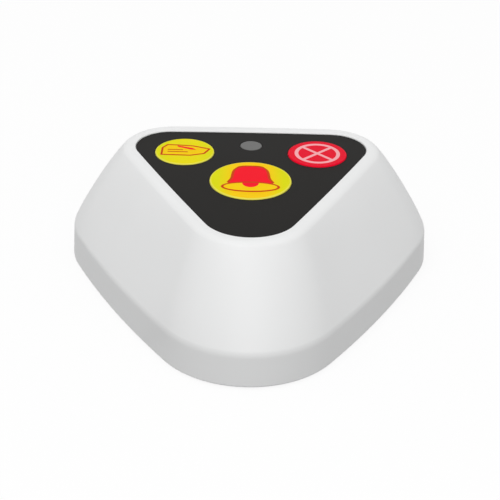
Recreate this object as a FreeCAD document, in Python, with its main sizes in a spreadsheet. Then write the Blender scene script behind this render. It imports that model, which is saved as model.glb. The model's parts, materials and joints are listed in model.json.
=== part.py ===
import FreeCAD, Part
import os
import Sketcher
from math import atan2, pi, sqrt

# Wireless waiter call button: a rounded-triangle housing with three keys under a printed film.
# Millimetres. Z = 0 is the table, +Z is up, the rounded tip of the housing points to -Y, and the
# origin is the middle of the footprint.

SIZES = {
    # housing form
    "body_width": 86.0,
    "body_depth": 81.4,
    "corner_radius": 22.0,
    "side_radius": 240.0,
    "foot_stand": 0.8,
    "shell_height": 26.6,
    "skirt_height": 7.3,
    "skirt_draft": 0.44,
    "face_fullness": 1.11,
    "crease_bevel": 1.2,
    "rim_bevel": 1.2,
    "wall": 2.2,
    "shoulder_drop": 0.65,
    "shoulder_step": 0.4,
    "inner_run": 10.4,
    "ceiling_thickness": 1.8,
    # printed panel and its recess
    "panel_side_margin": 15.68,
    "panel_tip_margin": 16.46,
    "panel_back_margin": 12.46,
    "panel_tip_radius": 10.89,
    "panel_back_radius": 8.74,
    "panel_side_radius": 900.0,
    "rim_width": 2.64,
    "recess_depth": 0.8,
    "film_gap": 0.15,
    "film_thickness": 0.5,
    # keys and lamp window
    "call_key_inset": 25.86,
    "call_key_radius": 9.31,
    "small_key_side_inset": 11.66,
    "small_key_inset": 11.37,
    "small_key_radius": 6.96,
    "key_proud": 0.5,
    "key_edge_bevel": 0.3,
    "key_gap": 0.1,
    "key_ear_width": 2.4,
    "key_ear_reach": 1.0,
    "key_ear_thickness": 1.2,
    "key_post_width": 3.0,
    "guide_rib_thickness": 1.0,
    "guide_rib_length": 2.0,
    "guide_rib_drop": 3.0,
    "guide_gap": 0.15,
    "rest_gap": 0.05,
    "lamp_inset": 7.2,
    "lamp_window_radius": 2.59,
    "lamp_guide_width": 3.2,
    "lamp_collar_width": 6.4,
    "lamp_collar_thickness": 1.2,
    "lamp_gap": 0.4,
    # circuit board
    "board_height": 15.0,
    "board_thickness": 1.6,
    "board_corner_reach": 3.0,
    "board_corner_width": 17.0,
    "board_post_width": 4.6,
    "board_post_x": 8.0,
    "board_post_back": 5.1,
    "board_post_front": 1.7,
    "board_stake_width": 1.8,
    "board_stake_height": 0.6,
    # push switches
    "switch_width": 6.0,
    "switch_body_height": 3.2,
    "switch_cover_thickness": 0.3,
    "switch_well_width": 5.0,
    "switch_well_floor": 2.0,
    "switch_height": 5.0,
    "stem_width": 3.2,
    "stem_flange_width": 4.4,
    "stem_flange_thickness": 0.6,
    "dome_width": 4.2,
    "dome_rise": 0.5,
    "dome_crown": 1.6,
    "dome_thickness": 0.08,
    "switch_leg_width": 0.7,
    "switch_leg_thickness": 0.2,
    "switch_leg_reach": 1.3,
    "switch_leg_pitch": 4.5,
    # lamp
    "lamp_radius": 1.5,
    "lamp_length": 5.2,
    "lamp_flange_radius": 1.9,
    "lamp_flange_height": 1.0,
    "lamp_pin_width": 0.5,
    "lamp_pin_pitch": 2.54,
    "lamp_pin_hole": 0.9,
    # bottom plate
    "plate_thickness": 2.0,
    "plate_gap": 0.15,
    "screw_reach": 8.25,
    "boss_radius": 3.3,
    "boss_seat_height": 3.6,
    "screw_radius": 1.3,
    "screw_head_radius": 2.5,
    "screw_head_height": 1.8,
    "screw_length": 8.0,
    "screw_sink": 2.2,
    "thread_gap": 0.05,
    "head_gap": 0.3,
    "foot_reach": 15.55,
    "foot_radius": 3.2,
    "seat_rib_thickness": 1.2,
    "seat_rib_spread": 11.0,
    "seat_rib_reach": 7.5,
    "seat_rib_height": 5.0,
    # battery and its bay
    "cell_offset": 1.56,
    "cell_radius": 5.15,
    "cell_length": 28.5,
    "cell_nub_radius": 2.8,
    "cell_nub_length": 1.1,
    "cell_gap": 0.4,
    "cell_door_gap": 0.5,
    "bay_wall": 1.2,
    "bay_frame_height": 0.7,
    "contact_thickness": 0.4,
    "contact_width": 8.6,
    "contact_tail_width": 1.6,
    "contact_tail_length": 0.8,
    "contact_foot_lift": 1.2,
    "spring_length": 4.1,
    "spring_thickness": 0.3,
    "spring_width": 5.0,
    "spring_foot": 4.0,
    "spring_bend": 3.0,
    "spring_nose": 0.8,
    # battery door
    "door_thickness": 1.4,
    "door_length": 39.0,
    "door_width": 16.8,
    "door_gap": 0.25,
    "door_rise_gap": 0.1,
    "door_travel": 3.0,
    "hook_length": 3.0,
    "hook_thickness": 1.1,
    "hook_toe": 2.0,
    "hook_toe_thickness": 1.0,
    "hook_inset": 0.25,
    "hook_left_x": 12.0,
    "hook_right_x": 8.0,
    "ridge_x": 9.75,
    "ridge_length": 8.4,
    "ridge_width": 0.8,
    "ridge_pitch": 1.8,
    "ridge_depth": 0.35,
    "ridge_count": 5,
    # parts on the board, with Y taken forwards or backwards from the middle
    "chip_x": 9.0,
    "chip_y": 12.4,
    "chip_length": 4.9,
    "chip_width": 3.9,
    "chip_height": 1.4,
    "chip_stand": 0.15,
    "chip_lead_pitch": 1.27,
    "chip_lead_width": 0.42,
    "chip_lead_height": 0.7,
    "chip_lead_reach": 1.05,
    "can_x": 10.0,
    "can_y": 10.6,
    "can_radius": 4.2,
    "can_height": 3.3,
    "capacitor_inset": 8.16,
    "capacitor_y": 8.9,
    "capacitor_radius": 2.0,
    "capacitor_height": 5.4,
    "aerial_y": 17.8,
    "aerial_length": 20.0,
    "aerial_height": 4.0,
    "aerial_thickness": 0.8,
    "resistor_inset": 9.06,
    "resistor_y": 7.8,
    "resistor_pitch": 2.2,
    "resistor_length": 2.0,
    "resistor_width": 1.25,
    "resistor_height": 0.5,
}

# directions fixed by the three-cornered form, in degrees from X
CORNER_BEARINGS = (270, 30, 150)
CORNER_HALF_TURN = 54
CORNER_FACETS = 3

LEADS_PER_SIDE = 4
RESISTORS = 3
PLANES = {"XY": "XY_Plane", "XZ": "XZ_Plane", "YZ": "YZ_Plane"}

doc = FreeCAD.newDocument("waiter_call_button")
sheet = doc.addObject("Spreadsheet::Sheet", "size")
for row, (name, value) in enumerate(SIZES.items(), start=1):
    sheet.set(f"A{row}", str(value))
    sheet.setAlias(f"A{row}", name)
doc.recompute()


def number(expression):
    """The present value of an expression over the sheet."""
    return float(sheet.evalExpression(str(expression)))


# ---- heights, as expressions over the sheet -------------------------------------------------
LOWER_EDGE = "size.foot_stand"
CREASE = "(size.foot_stand + size.skirt_height)"
SHOULDER = f"({CREASE} - size.shoulder_drop)"
TOP = "(size.foot_stand + size.shell_height)"
RECESS_FLOOR = f"({TOP} - size.recess_depth)"
CEILING = f"({RECESS_FLOOR} - size.ceiling_thickness)"
FILM_TOP = f"({RECESS_FLOOR} + size.film_thickness)"
KEY_TOP = f"({FILM_TOP} + size.key_proud)"
EAR_TOP = f"({CEILING} - size.rest_gap)"
EAR_UNDER = f"({EAR_TOP} - size.key_ear_thickness)"
BOARD_TOP = "(size.foot_stand + size.board_height)"
BOARD_UNDER = f"({BOARD_TOP} - size.board_thickness)"
STEM_TOP = f"({BOARD_TOP} + size.switch_height)"
PLATE_TOP = "(size.foot_stand + size.plate_thickness)"
SEAT_TOP = "(size.foot_stand + size.boss_seat_height)"
DOOR_TOP = "(size.foot_stand + size.door_thickness)"
DOOR_SEAT = f"({DOOR_TOP} + size.door_rise_gap)"
FRAME_TOP = f"({PLATE_TOP} + size.bay_frame_height)"
CELL_AXIS = f"({DOOR_TOP} + size.cell_door_gap + size.cell_radius)"

# ---- outlines, as expressions ---------------------------------------------------------------


def back_corner_y(back_edge, side, corner, x):
    """Y of a back corner's centre, where its arc meets the back side's arc smoothly."""
    return f"({back_edge} - {side} + sqrt(({side} - {corner})^2 - {x}^2))"


def triangle(width, depth, tip_reach, tip, corner, side):
    """A rounded triangle: the centres and radii of its three corners, and its sides' radius."""
    x = f"({width} / 2 - {corner})"
    return {
        "x": x,
        "back": back_corner_y(f"{depth} - {tip_reach}", side, corner, x),
        "front": f"({tip} - {tip_reach})",
        "tip_radius": tip,
        "corner_radius": corner,
        "side_radius": side,
    }


def grown(outline, growth):
    """The outline moved outwards by growth all round."""
    bigger = dict(outline)
    for key in ("tip_radius", "corner_radius", "side_radius"):
        bigger[key] = f"({outline[key]} + {growth})"
    return bigger


def between(outer, inner, share, growth="0"):
    """An outline part of the way from inner (share 0) to outer (share 1)."""
    mixed = {key: f"({inner[key]} + ({outer[key]} - {inner[key]}) * {share})" for key in outer}
    return grown(mixed, growth)


def face_share(level):
    """How far out the sloping face stands at a level of 0 (crease) to 1 (rim)."""
    return f"((1 - {level}^size.face_fullness)^(1 / size.face_fullness))"


BASE = triangle("size.body_width", "size.body_depth", "size.body_depth / 2", "size.corner_radius",
                "size.corner_radius", "size.side_radius")
PANEL_WIDTH = "(size.body_width - 2 * size.panel_side_margin)"
PANEL_DEPTH = "(size.body_depth - size.panel_tip_margin - size.panel_back_margin)"
PANEL_BACK = "(size.body_depth / 2 - size.panel_back_margin)"
PANEL = triangle(PANEL_WIDTH, PANEL_DEPTH, "(size.body_depth / 2 - size.panel_tip_margin)",
                 "size.panel_tip_radius", "size.panel_back_radius", "size.panel_side_radius")
CREASE_OUTLINE = grown(BASE, "-size.skirt_draft")
RIM_OUTLINE = grown(PANEL, "size.rim_width")
MIDDLE_Y = f"((2 * {BASE['back']} + {BASE['front']}) / 3)"


CORNERS = [("0", BASE["front"]), (BASE["x"], BASE["back"]), (f"-{BASE['x']}", BASE["back"])]


def corner_places(reach):
    """Places at one distance outwards from the centres of the housing's three corners."""
    return [(f"({x} + {reach} * cos({bearing}))", f"({y} + {reach} * sin({bearing}))")
            for (x, y), bearing in zip(CORNERS, CORNER_BEARINGS)]


SCREW_PLACES = corner_places("size.screw_reach")
FOOT_PLACES = corner_places("size.foot_reach")
POST_PLACES = [
    ("0", f"({BASE['front']} + size.board_post_front)"),
    ("size.board_post_x", f"({BASE['back']} + size.board_post_back)"),
    ("-size.board_post_x", f"({BASE['back']} + size.board_post_back)"),
]
SMALL_KEY_X = f"({PANEL_WIDTH} / 2 - size.small_key_side_inset)"
SMALL_KEY_Y = f"({PANEL_BACK} - size.small_key_inset)"
CALL_PLACE = ("0", f"({PANEL_BACK} - size.call_key_inset)")
BILL_PLACE = (f"-{SMALL_KEY_X}", SMALL_KEY_Y)
CANCEL_PLACE = (SMALL_KEY_X, SMALL_KEY_Y)
LAMP_PLACE = ("0", f"({PANEL_BACK} - size.lamp_inset)")
LAMP_Y = LAMP_PLACE[1]
CELL_Y = f"({MIDDLE_Y} - size.cell_offset)"
CHIP_PLACE = ("size.chip_x", f"({MIDDLE_Y} - size.chip_y)")
CAN_PLACE = ("-size.can_x", f"({MIDDLE_Y} - size.can_y)")
CAPACITOR_PLACE = (f"({SMALL_KEY_X} - size.capacitor_inset)", f"({MIDDLE_Y} + size.capacitor_y)")
KEYS = {
    "call": (CALL_PLACE, "size.call_key_radius", -1),
    "bill": (BILL_PLACE, "size.small_key_radius", 1),
    "cancel": (CANCEL_PLACE, "size.small_key_radius", 1),
}
SWITCH_PLACES = [place for place, radius, guide_side in KEYS.values()]

HALF_BAY = "((size.cell_length + size.spring_length) / 2 + size.contact_thickness)"
LEFT_CONTACT_X = f"(size.contact_thickness / 2 - {HALF_BAY})"
RIGHT_CONTACT_X = f"({HALF_BAY} - size.contact_thickness / 2)"
BAY_HALF_WIDTH = "(size.cell_radius + size.cell_gap)"
HOOK_OUTER = "(size.door_width / 2 - size.hook_inset)"


# ---- sketching helpers ----------------------------------------------------------------------
def new_body(label):
    body = doc.addObject("PartDesign::Body", label)
    body.Label = label
    return body


def new_sketch(body, name, level="0", plane="XY"):
    """A sketch on one of the body's own planes, raised by level along the plane's normal."""
    sketch = body.newObject("Sketcher::SketchObject", name)
    support = next(f for f in body.Origin.OriginFeatures if f.Role == PLANES[plane])
    sketch.AttachmentSupport = [(support, "")]
    sketch.MapMode = "FlatFace"
    sketch.setExpression("AttachmentOffset.Base.z", str(level))
    return sketch


def bind(sketch, kind, *place_and_size):
    """Add a dimension whose value is the last argument, an expression."""
    *where, expression = place_and_size
    index = sketch.addConstraint(Sketcher.Constraint(kind, *where, number(expression)))
    sketch.setExpression(f"Constraints[{index}]", str(expression))


def pin_point(sketch, shape, point, x, y):
    """Hold a point of the sketch at x, y."""
    bind(sketch, "DistanceX", -1, 1, shape, point, x)
    bind(sketch, "DistanceY", -1, 1, shape, point, y)


def add_circle(sketch, place, radius):
    x, y = place
    centre = FreeCAD.Vector(number(x), number(y), 0)
    circle = Part.Circle(centre, FreeCAD.Vector(0, 0, 1), number(radius))
    shape = sketch.addGeometry(circle, False)
    pin_point(sketch, shape, 3, x, y)
    bind(sketch, "Radius", shape, radius)


def add_loop(sketch, corners):
    """A closed loop of straight lines through corners, each an (x, y) pair of expressions."""
    points = [FreeCAD.Vector(number(x), number(y), 0) for x, y in corners]
    first = sketch.GeometryCount
    count = len(corners)
    for i in range(count):
        sketch.addGeometry(Part.LineSegment(points[i], points[(i + 1) % count]), False)
    for i in range(count):
        following = first + (i + 1) % count
        sketch.addConstraint(Sketcher.Constraint("Coincident", first + i, 2, following, 1))
    for i, (x, y) in enumerate(corners):
        pin_point(sketch, first + i, 1, x, y)


def add_box_loop(sketch, left, right, low, high):
    """An upright rectangle between two X and two Y expressions."""
    add_loop(sketch, [(left, low), (right, low), (right, high), (left, high)])


def add_centred_box(sketch, place, width, depth):
    x, y = place
    add_box_loop(sketch, f"{x} - {width} / 2", f"{x} + {width} / 2",
                 f"{y} - {depth} / 2", f"{y} + {depth} / 2")


def add_triangle(sketch, outline):
    """A rounded triangle as six arcs, each tangent to the next."""
    x, back, front = number(outline["x"]), number(outline["back"]), number(outline["front"])
    side_radius = number(outline["side_radius"])
    tip_radius, corner_radius = number(outline["tip_radius"]), number(outline["corner_radius"])
    centres = [FreeCAD.Vector(0, front, 0), FreeCAD.Vector(x, back, 0), FreeCAD.Vector(-x, back, 0)]
    radii = [tip_radius, corner_radius, corner_radius]

    def side_centre(start, start_radius, end, end_radius):
        span = end - start
        near, far = side_radius - start_radius, side_radius - end_radius
        along = (near**2 - far**2 + span.Length**2) / (2 * span.Length)
        inward = FreeCAD.Vector(-span.y, span.x, 0) / span.Length
        return start + span / span.Length * along + inward * sqrt(near**2 - along**2)

    def bearing(centre, point):
        return atan2(point.y - centre.y, point.x - centre.x)

    def arc(centre, radius, start, end):
        circle = Part.Circle(centre, FreeCAD.Vector(0, 0, 1), radius)
        return Part.ArcOfCircle(circle, start, end if end > start else end + 2 * pi)

    sides = [side_centre(centres[i], radii[i], centres[i - 2], radii[i - 2]) for i in range(3)]
    first = sketch.GeometryCount
    for i in range(3):
        start, end = bearing(sides[i - 1], centres[i]), bearing(sides[i], centres[i])
        sketch.addGeometry(arc(centres[i], radii[i], start, end), False)
        start, end = end, bearing(sides[i], centres[i - 2])
        sketch.addGeometry(arc(sides[i], side_radius, start, end), False)
    for i in range(6):
        following = first + (i + 1) % 6
        sketch.addConstraint(Sketcher.Constraint("Tangent", first + i, 2, following, 1))
    tip, right, left = first, first + 2, first + 4
    sketch.addConstraint(Sketcher.Constraint("PointOnObject", tip, 3, -2))
    bind(sketch, "DistanceY", -1, 1, tip, 3, outline["front"])
    pin_point(sketch, right, 3, outline["x"], outline["back"])
    sketch.addConstraint(Sketcher.Constraint("Symmetric", right, 3, left, 3, -2))
    bind(sketch, "Radius", tip, outline["tip_radius"])
    bind(sketch, "Radius", right, outline["corner_radius"])
    sketch.addConstraint(Sketcher.Constraint("Equal", right, left))
    bind(sketch, "Radius", first + 1, outline["side_radius"])
    sketch.addConstraint(Sketcher.Constraint("Equal", first + 1, first + 3))
    sketch.addConstraint(Sketcher.Constraint("Equal", first + 3, first + 5))


# ---- feature helpers ------------------------------------------------------------------------
def pad(body, sketch, name, length, downwards=False):
    feature = body.newObject("PartDesign::Pad", name)
    feature.Profile = sketch
    feature.setExpression("Length", str(length))
    feature.Reversed = downwards
    doc.recompute()
    return feature


def pocket(body, sketch, name, depth, upwards=False):
    """Cut from the sketch down, or up, and make sure that it takes something away."""
    before = body.Shape.Volume
    feature = body.newObject("PartDesign::Pocket", name)
    feature.Profile = sketch
    feature.setExpression("Length", str(depth))
    feature.Reversed = upwards
    doc.recompute()
    if not feature.Shape.Volume < before:
        raise RuntimeError(f"{name} cuts nothing")
    return feature


def loft(body, name, sections, ruled):
    feature = body.newObject("PartDesign::AdditiveLoft", name)
    feature.Profile = sections[0]
    feature.Sections = sections[1:]
    feature.Ruled = ruled
    doc.recompute()
    return feature


def revolve(body, sketch, name, axis="V_Axis"):
    feature = body.newObject("PartDesign::Revolution", name)
    feature.Profile = sketch
    feature.ReferenceAxis = (sketch, [axis])
    feature.Angle = 360
    doc.recompute()
    return feature


def flat_edges(shape, level, chosen=None):
    """Numbers of the edges that lie flat at a height, and that chosen accepts."""
    found = []
    for index, edge in enumerate(shape.Edges, start=1):
        box = edge.BoundBox
        flat = abs(box.ZMin - level) < 0.001 and abs(box.ZMax - level) < 0.001
        if flat and (chosen is None or chosen(edge)):
            found.append(index)
    return found


def bevel(body, name, indices, size):
    """Chamfer the numbered edges of the body's last feature."""
    base = body.Tip
    feature = body.newObject("PartDesign::Chamfer", name)
    feature.Base = (base, [f"Edge{index}" for index in indices])
    feature.setExpression("Size", size)
    doc.recompute()
    return feature


def bevel_level(body, name, level, size):
    """Chamfer all of the body's flat edges at one height."""
    return bevel(body, name, flat_edges(body.Tip.Shape, number(level)), size)


def lean_in(body, name, neutral, top, angle):
    """Draft the upright faces between two levels inwards, from the lower one up."""
    base = body.Tip
    low, high = number(neutral), number(top)
    faces = []
    for index, face in enumerate(base.Shape.Faces, start=1):
        box = face.BoundBox
        if abs(box.ZMin - low) < 0.001 and abs(box.ZMax - high) < 0.001:
            faces.append(f"Face{index}")
        elif abs(box.ZMin - low) < 0.001 and abs(box.ZMax - low) < 0.001:
            ledge = f"Face{index}"
    feature = body.newObject("PartDesign::Draft", name)
    feature.Base = (base, faces)
    feature.NeutralPlane = (base, [ledge])
    feature.setExpression("Angle", angle)
    doc.recompute()
    return feature


def join(kind, label, base, tool):
    feature = doc.addObject(kind, label)
    feature.Base = base
    feature.Tool = tool
    doc.recompute()
    return feature


def place_body(body, x, y, z, rotation=FreeCAD.Rotation()):
    body.Placement = FreeCAD.Placement(FreeCAD.Vector(), rotation)
    for axis, expression in zip("xyz", (x, y, z)):
        body.setExpression(f"Placement.Base.{axis}", str(expression))
    doc.recompute()


def bent_strip(label, profile, width, x, y, z):
    """A strip of sheet metal bent in the XZ plane, with its width along Y."""
    body = new_body(label)
    place_body(body, x, y, z)
    outline = new_sketch(body, "bent_outline", plane="XZ")
    add_loop(outline, profile)
    strip = pad(body, outline, "strip", width)
    strip.Midplane = True
    doc.recompute()
    return body


# ---- upper shell ----------------------------------------------------------------------------
def housing_block():
    """The solid outer form: an upright skirt, then faces that slope in to the flat rim."""
    body = new_body("housing_block")
    foot = new_sketch(body, "foot_outline", LOWER_EDGE)
    add_triangle(foot, BASE)
    crease = new_sketch(body, "crease_outline", CREASE)
    add_triangle(crease, CREASE_OUTLINE)
    waist = new_sketch(body, "waist_outline", f"({CREASE} + {TOP}) / 2")
    add_triangle(waist, between(CREASE_OUTLINE, RIM_OUTLINE, face_share("0.5")))
    rim = new_sketch(body, "rim_outline", TOP)
    add_triangle(rim, RIM_OUTLINE)
    doc.recompute()
    loft(body, "skirt", [foot, crease], ruled=True)
    loft(body, "sloping_faces", [crease, waist, rim], ruled=True)
    bevel_level(body, "crease_edge", CREASE, "size.crease_bevel")
    bevel_level(body, "rim_edge", TOP, "size.rim_bevel")
    return body


def facet_corners(radius):
    """A triangle whose corners are each cut into a few flat facets of a circle."""
    corners = []
    for (x, y), bearing in zip(CORNERS, CORNER_BEARINGS):
        for step in range(CORNER_FACETS + 1):
            turn = bearing + CORNER_HALF_TURN * (2 * step / CORNER_FACETS - 1)
            corners.append((f"({x} + {radius} * cos({turn}))", f"({y} + {radius} * sin({turn}))"))
    return corners


def core_block():
    """The hollow inside the shell, before bosses and ribs are left standing in it."""
    body = new_body("core_block")
    mouth = new_sketch(body, "mouth_outline", LOWER_EDGE)
    add_triangle(mouth, grown(CREASE_OUTLINE, "-size.wall"))
    pad(body, mouth, "skirt_core", f"{SHOULDER} - {LOWER_EDGE}")
    shoulder = new_sketch(body, "shoulder_outline", SHOULDER)
    add_loop(shoulder, facet_corners("(size.corner_radius - size.skirt_draft - size.wall"
                                     " - size.shoulder_step)"))
    pad(body, shoulder, "face_core", f"{CEILING} - {SHOULDER}")
    lean_in(body, "leaning_faces", SHOULDER, CEILING, f"atan(size.inner_run / ({CEILING} - {SHOULDER}))")
    return body


def guide_ribs(sketch, place, radius, guide_side):
    """Two ribs, one each side of one of a key's ears, that keep its picture upright."""
    x, y = place
    near = f"({y} + {guide_side} * ({radius} + size.key_gap + size.guide_gap))"
    far = f"({near} + {guide_side} * size.guide_rib_length)"
    low, high = (near, far) if guide_side > 0 else (far, near)
    inner = "(size.key_ear_width / 2 + size.guide_gap)"
    outer = f"({inner} + size.guide_rib_thickness)"
    add_box_loop(sketch, f"{x} + {inner}", f"{x} + {outer}", low, high)
    add_box_loop(sketch, f"{x} - {outer}", f"{x} - {inner}", low, high)


def seat_ribs(sketch):
    """Three ribs along each side's inside, which the bottom plate's edge stops against."""
    for i in range(3):
        (start_x, start_y), (end_x, end_y) = CORNERS[i], CORNERS[i - 2]
        middle_x, middle_y = f"({start_x} + {end_x}) / 2", f"({start_y} + {end_y}) / 2"
        span = f"sqrt(({end_x} - {start_x})^2 + ({end_y} - {start_y})^2)"
        along_x, along_y = f"(({end_x} - {start_x}) / {span})", f"(({end_y} - {start_y}) / {span})"
        rise = f"sqrt((size.side_radius - size.corner_radius)^2 - ({span} / 2)^2)"
        out = f"(size.side_radius - {rise})"
        for step in (-1, 0, 1):
            corners = []
            for depth, edge in ((0, -1), (0, 1), (1, 1), (1, -1)):
                outwards = f"({out} - {depth} * size.seat_rib_reach)"
                sideways = f"({step} * size.seat_rib_spread + {edge} * size.seat_rib_thickness / 2)"
                corners.append((f"{middle_x} + {along_y} * {outwards} + {along_x} * {sideways}",
                                f"{middle_y} - {along_x} * {outwards} + {along_y} * {sideways}"))
            add_loop(sketch, corners)


def boss_block():
    """Everything that hangs from the shell's inside: screw bosses, key guides and seat ribs."""
    body = new_body("boss_block")
    bosses = new_sketch(body, "boss_circles", SEAT_TOP)
    for place in SCREW_PLACES:
        add_circle(bosses, place, "size.boss_radius")
    pad(body, bosses, "bosses", f"{TOP} - {SEAT_TOP}")
    guides = new_sketch(body, "guide_outlines", f"{CEILING} - size.guide_rib_drop")
    for place, radius, guide_side in KEYS.values():
        guide_ribs(guides, place, radius, guide_side)
    pad(body, guides, "key_guides", "size.guide_rib_drop + size.ceiling_thickness / 2")
    seats = new_sketch(body, "seat_outlines", PLATE_TOP)
    seat_ribs(seats)
    pad(body, seats, "seat_ribs", "size.seat_rib_height")
    return body


def top_shell(hollow):
    """The finished shell: film recess, key and lamp holes, and screw pilot holes."""
    body = new_body("top_shell")
    body.BaseFeature = hollow
    doc.recompute()
    recess = new_sketch(body, "recess_outline", TOP)
    add_triangle(recess, grown(PANEL, "size.film_gap"))
    pocket(body, recess, "film_recess", "size.recess_depth")
    holes = new_sketch(body, "ceiling_holes", RECESS_FLOOR)
    for place, radius, guide_side in KEYS.values():
        add_circle(holes, place, f"{radius} + size.key_gap")
    add_circle(holes, LAMP_PLACE, "size.lamp_window_radius + size.key_gap")
    pocket(body, holes, "key_holes", "size.ceiling_thickness")
    pilots = new_sketch(body, "pilot_circles", SEAT_TOP)
    for place in SCREW_PLACES:
        add_circle(pilots, place, "size.screw_radius + size.thread_gap")
    pocket(body, pilots, "pilot_holes", "size.screw_length + size.head_gap", upwards=True)
    return body


# ---- printed film, keys and lamp window -----------------------------------------------------
def printed_film():
    """The thin stuck-on sheet, with a hole for each key and for the lamp window."""
    body = new_body("printed_film")
    outline = new_sketch(body, "film_outline", RECESS_FLOOR)
    add_triangle(outline, PANEL)
    for place, radius, guide_side in KEYS.values():
        add_circle(outline, place, f"{radius} + size.key_gap")
    add_circle(outline, LAMP_PLACE, "size.lamp_window_radius + size.key_gap")
    pad(body, outline, "sheet", "size.film_thickness")
    return body


def key(name, place, radius):
    """A moulded key: a round cap, four ears that stop it under the shell, and a post."""
    x, y = place
    body = new_body(f"{name}_key")
    cap = new_sketch(body, "cap_circle", EAR_UNDER)
    add_circle(cap, place, radius)
    pad(body, cap, "cap", f"{KEY_TOP} - {EAR_UNDER}")
    bevel_level(body, "key_edge", KEY_TOP, "size.key_edge_bevel")
    ears = new_sketch(body, "ear_cross", EAR_UNDER)
    near, far = "(size.key_ear_width / 2)", f"({radius} + size.key_ear_reach)"
    turns = ((1, 0), (0, 1), (-1, 0), (0, -1))
    cross = []
    for a, b in turns:
        for out, side in ((far, -1), (far, 1), (near, 1)):
            cross.append((f"{x} + {a} * {out} - {b} * {side} * {near}",
                          f"{y} + {b} * {out} + {a} * {side} * {near}"))
    add_loop(ears, cross)
    pad(body, ears, "ears", "size.key_ear_thickness")
    post = new_sketch(body, "post_square", STEM_TOP)
    add_centred_box(post, place, "size.key_post_width", "size.key_post_width")
    pad(body, post, "post", f"{EAR_UNDER} - {STEM_TOP}")
    return body


def lamp_guide():
    """The light guide that carries the lamp's glow up to its round window in the film."""
    body = new_body("lamp_window")
    window = new_sketch(body, "window_circle", CEILING)
    add_circle(window, LAMP_PLACE, "size.lamp_window_radius")
    pad(body, window, "window", f"{FILM_TOP} - {CEILING}")
    collar = new_sketch(body, "collar_square", CEILING)
    add_centred_box(collar, LAMP_PLACE, "size.lamp_collar_width", "size.lamp_collar_width")
    pad(body, collar, "collar", "size.lamp_collar_thickness", downwards=True)
    guide_top = f"({CEILING} - size.lamp_collar_thickness)"
    guide = new_sketch(body, "guide_square", guide_top)
    add_centred_box(guide, LAMP_PLACE, "size.lamp_guide_width", "size.lamp_guide_width")
    lamp_top = f"({BOARD_TOP} + size.lamp_length)"
    pad(body, guide, "guide", f"{guide_top} - {lamp_top} - size.lamp_gap", downwards=True)
    return body


# ---- circuit board and what is soldered to it ------------------------------------------------
def board_outline():
    """A triangle whose corners are cut off square, short of the shell's screw bosses."""
    reach, half = "size.board_corner_reach", "size.board_corner_width / 2"
    corners = []
    for (x, y), bearing in zip(CORNERS, CORNER_BEARINGS):
        for side in (-1, 1):
            corners.append((f"({x} + {reach} * cos({bearing}) - {side} * {half} * sin({bearing}))",
                            f"({y} + {reach} * sin({bearing}) + {side} * {half} * cos({bearing}))"))
    return corners


def circuit_board():
    body = new_body("circuit_board")
    outline = new_sketch(body, "board_outline", BOARD_UNDER)
    add_loop(outline, board_outline())
    pad(body, outline, "board", "size.board_thickness")
    cuts = new_sketch(body, "board_holes", BOARD_TOP)
    for place in POST_PLACES:
        hole = "(size.board_stake_width + 2 * size.key_gap)"
        add_centred_box(cuts, place, hole, hole)
    for side in (-1, 1):
        pin_x = f"({side} * size.lamp_pin_pitch / 2)"
        add_centred_box(cuts, (pin_x, LAMP_Y), "size.lamp_pin_hole", "size.lamp_pin_hole")
    for x in (LEFT_CONTACT_X, RIGHT_CONTACT_X):
        add_centred_box(cuts, (x, CELL_Y), "(size.contact_thickness + size.key_gap * 2)",
                        "(size.contact_tail_width + size.key_gap * 2)")
    pocket(body, cuts, "holes", "size.board_thickness")
    return body


def switch_bases():
    """The moulded bases of the push switches, each with a square well for its dome and stem."""
    body = new_body("switch_bases")
    squares = new_sketch(body, "base_squares", BOARD_TOP)
    for place in SWITCH_PLACES:
        add_centred_box(squares, place, "size.switch_width", "size.switch_width")
    pad(body, squares, "bases", "size.switch_body_height")
    wells = new_sketch(body, "well_squares", f"{BOARD_TOP} + size.switch_body_height")
    for place in SWITCH_PLACES:
        add_centred_box(wells, place, "size.switch_well_width", "size.switch_well_width")
    pocket(body, wells, "wells", "size.switch_body_height - size.switch_well_floor")
    return body


def switch_covers():
    """Sheet metal covers that hold the stems in."""
    body = new_body("switch_covers")
    sheets = new_sketch(body, "cover_outlines", f"{BOARD_TOP} + size.switch_body_height")
    for place in SWITCH_PLACES:
        add_centred_box(sheets, place, "size.switch_width", "size.switch_width")
        add_centred_box(sheets, place, "(size.stem_width + 2 * size.key_gap)",
                        "(size.stem_width + 2 * size.key_gap)")
    pad(body, sheets, "covers", "size.switch_cover_thickness")
    return body


def switch_legs():
    """Four flat solder legs on each switch."""
    body = new_body("switch_legs")
    legs = new_sketch(body, "leg_outlines", BOARD_TOP)
    for x, y in SWITCH_PLACES:
        for side in (-1, 1):
            leg_x = f"({x} + {side} * (size.switch_width + size.switch_leg_reach) / 2)"
            for end in (-1, 1):
                leg_y = f"({y} + {end} * size.switch_leg_pitch / 2)"
                add_centred_box(legs, (leg_x, leg_y), "size.switch_leg_reach", "size.switch_leg_width")
    pad(body, legs, "legs", "size.switch_leg_thickness")
    return body


def switch_stem(name, place):
    """A stem: a square head that comes up through the cover, and a flange on the dome."""
    body = new_body(f"{name}_switch_stem")
    flange_top = f"({BOARD_TOP} + size.switch_body_height - size.rest_gap)"
    flange_under = f"({flange_top} - size.stem_flange_thickness)"
    flange = new_sketch(body, "flange_square", flange_under)
    add_centred_box(flange, place, "size.stem_flange_width", "size.stem_flange_width")
    pad(body, flange, "flange", "size.stem_flange_thickness")
    head = new_sketch(body, "head_square", flange_top)
    add_centred_box(head, place, "size.stem_width", "size.stem_width")
    pad(body, head, "head", f"{STEM_TOP} - {flange_top}")
    return body


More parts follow.
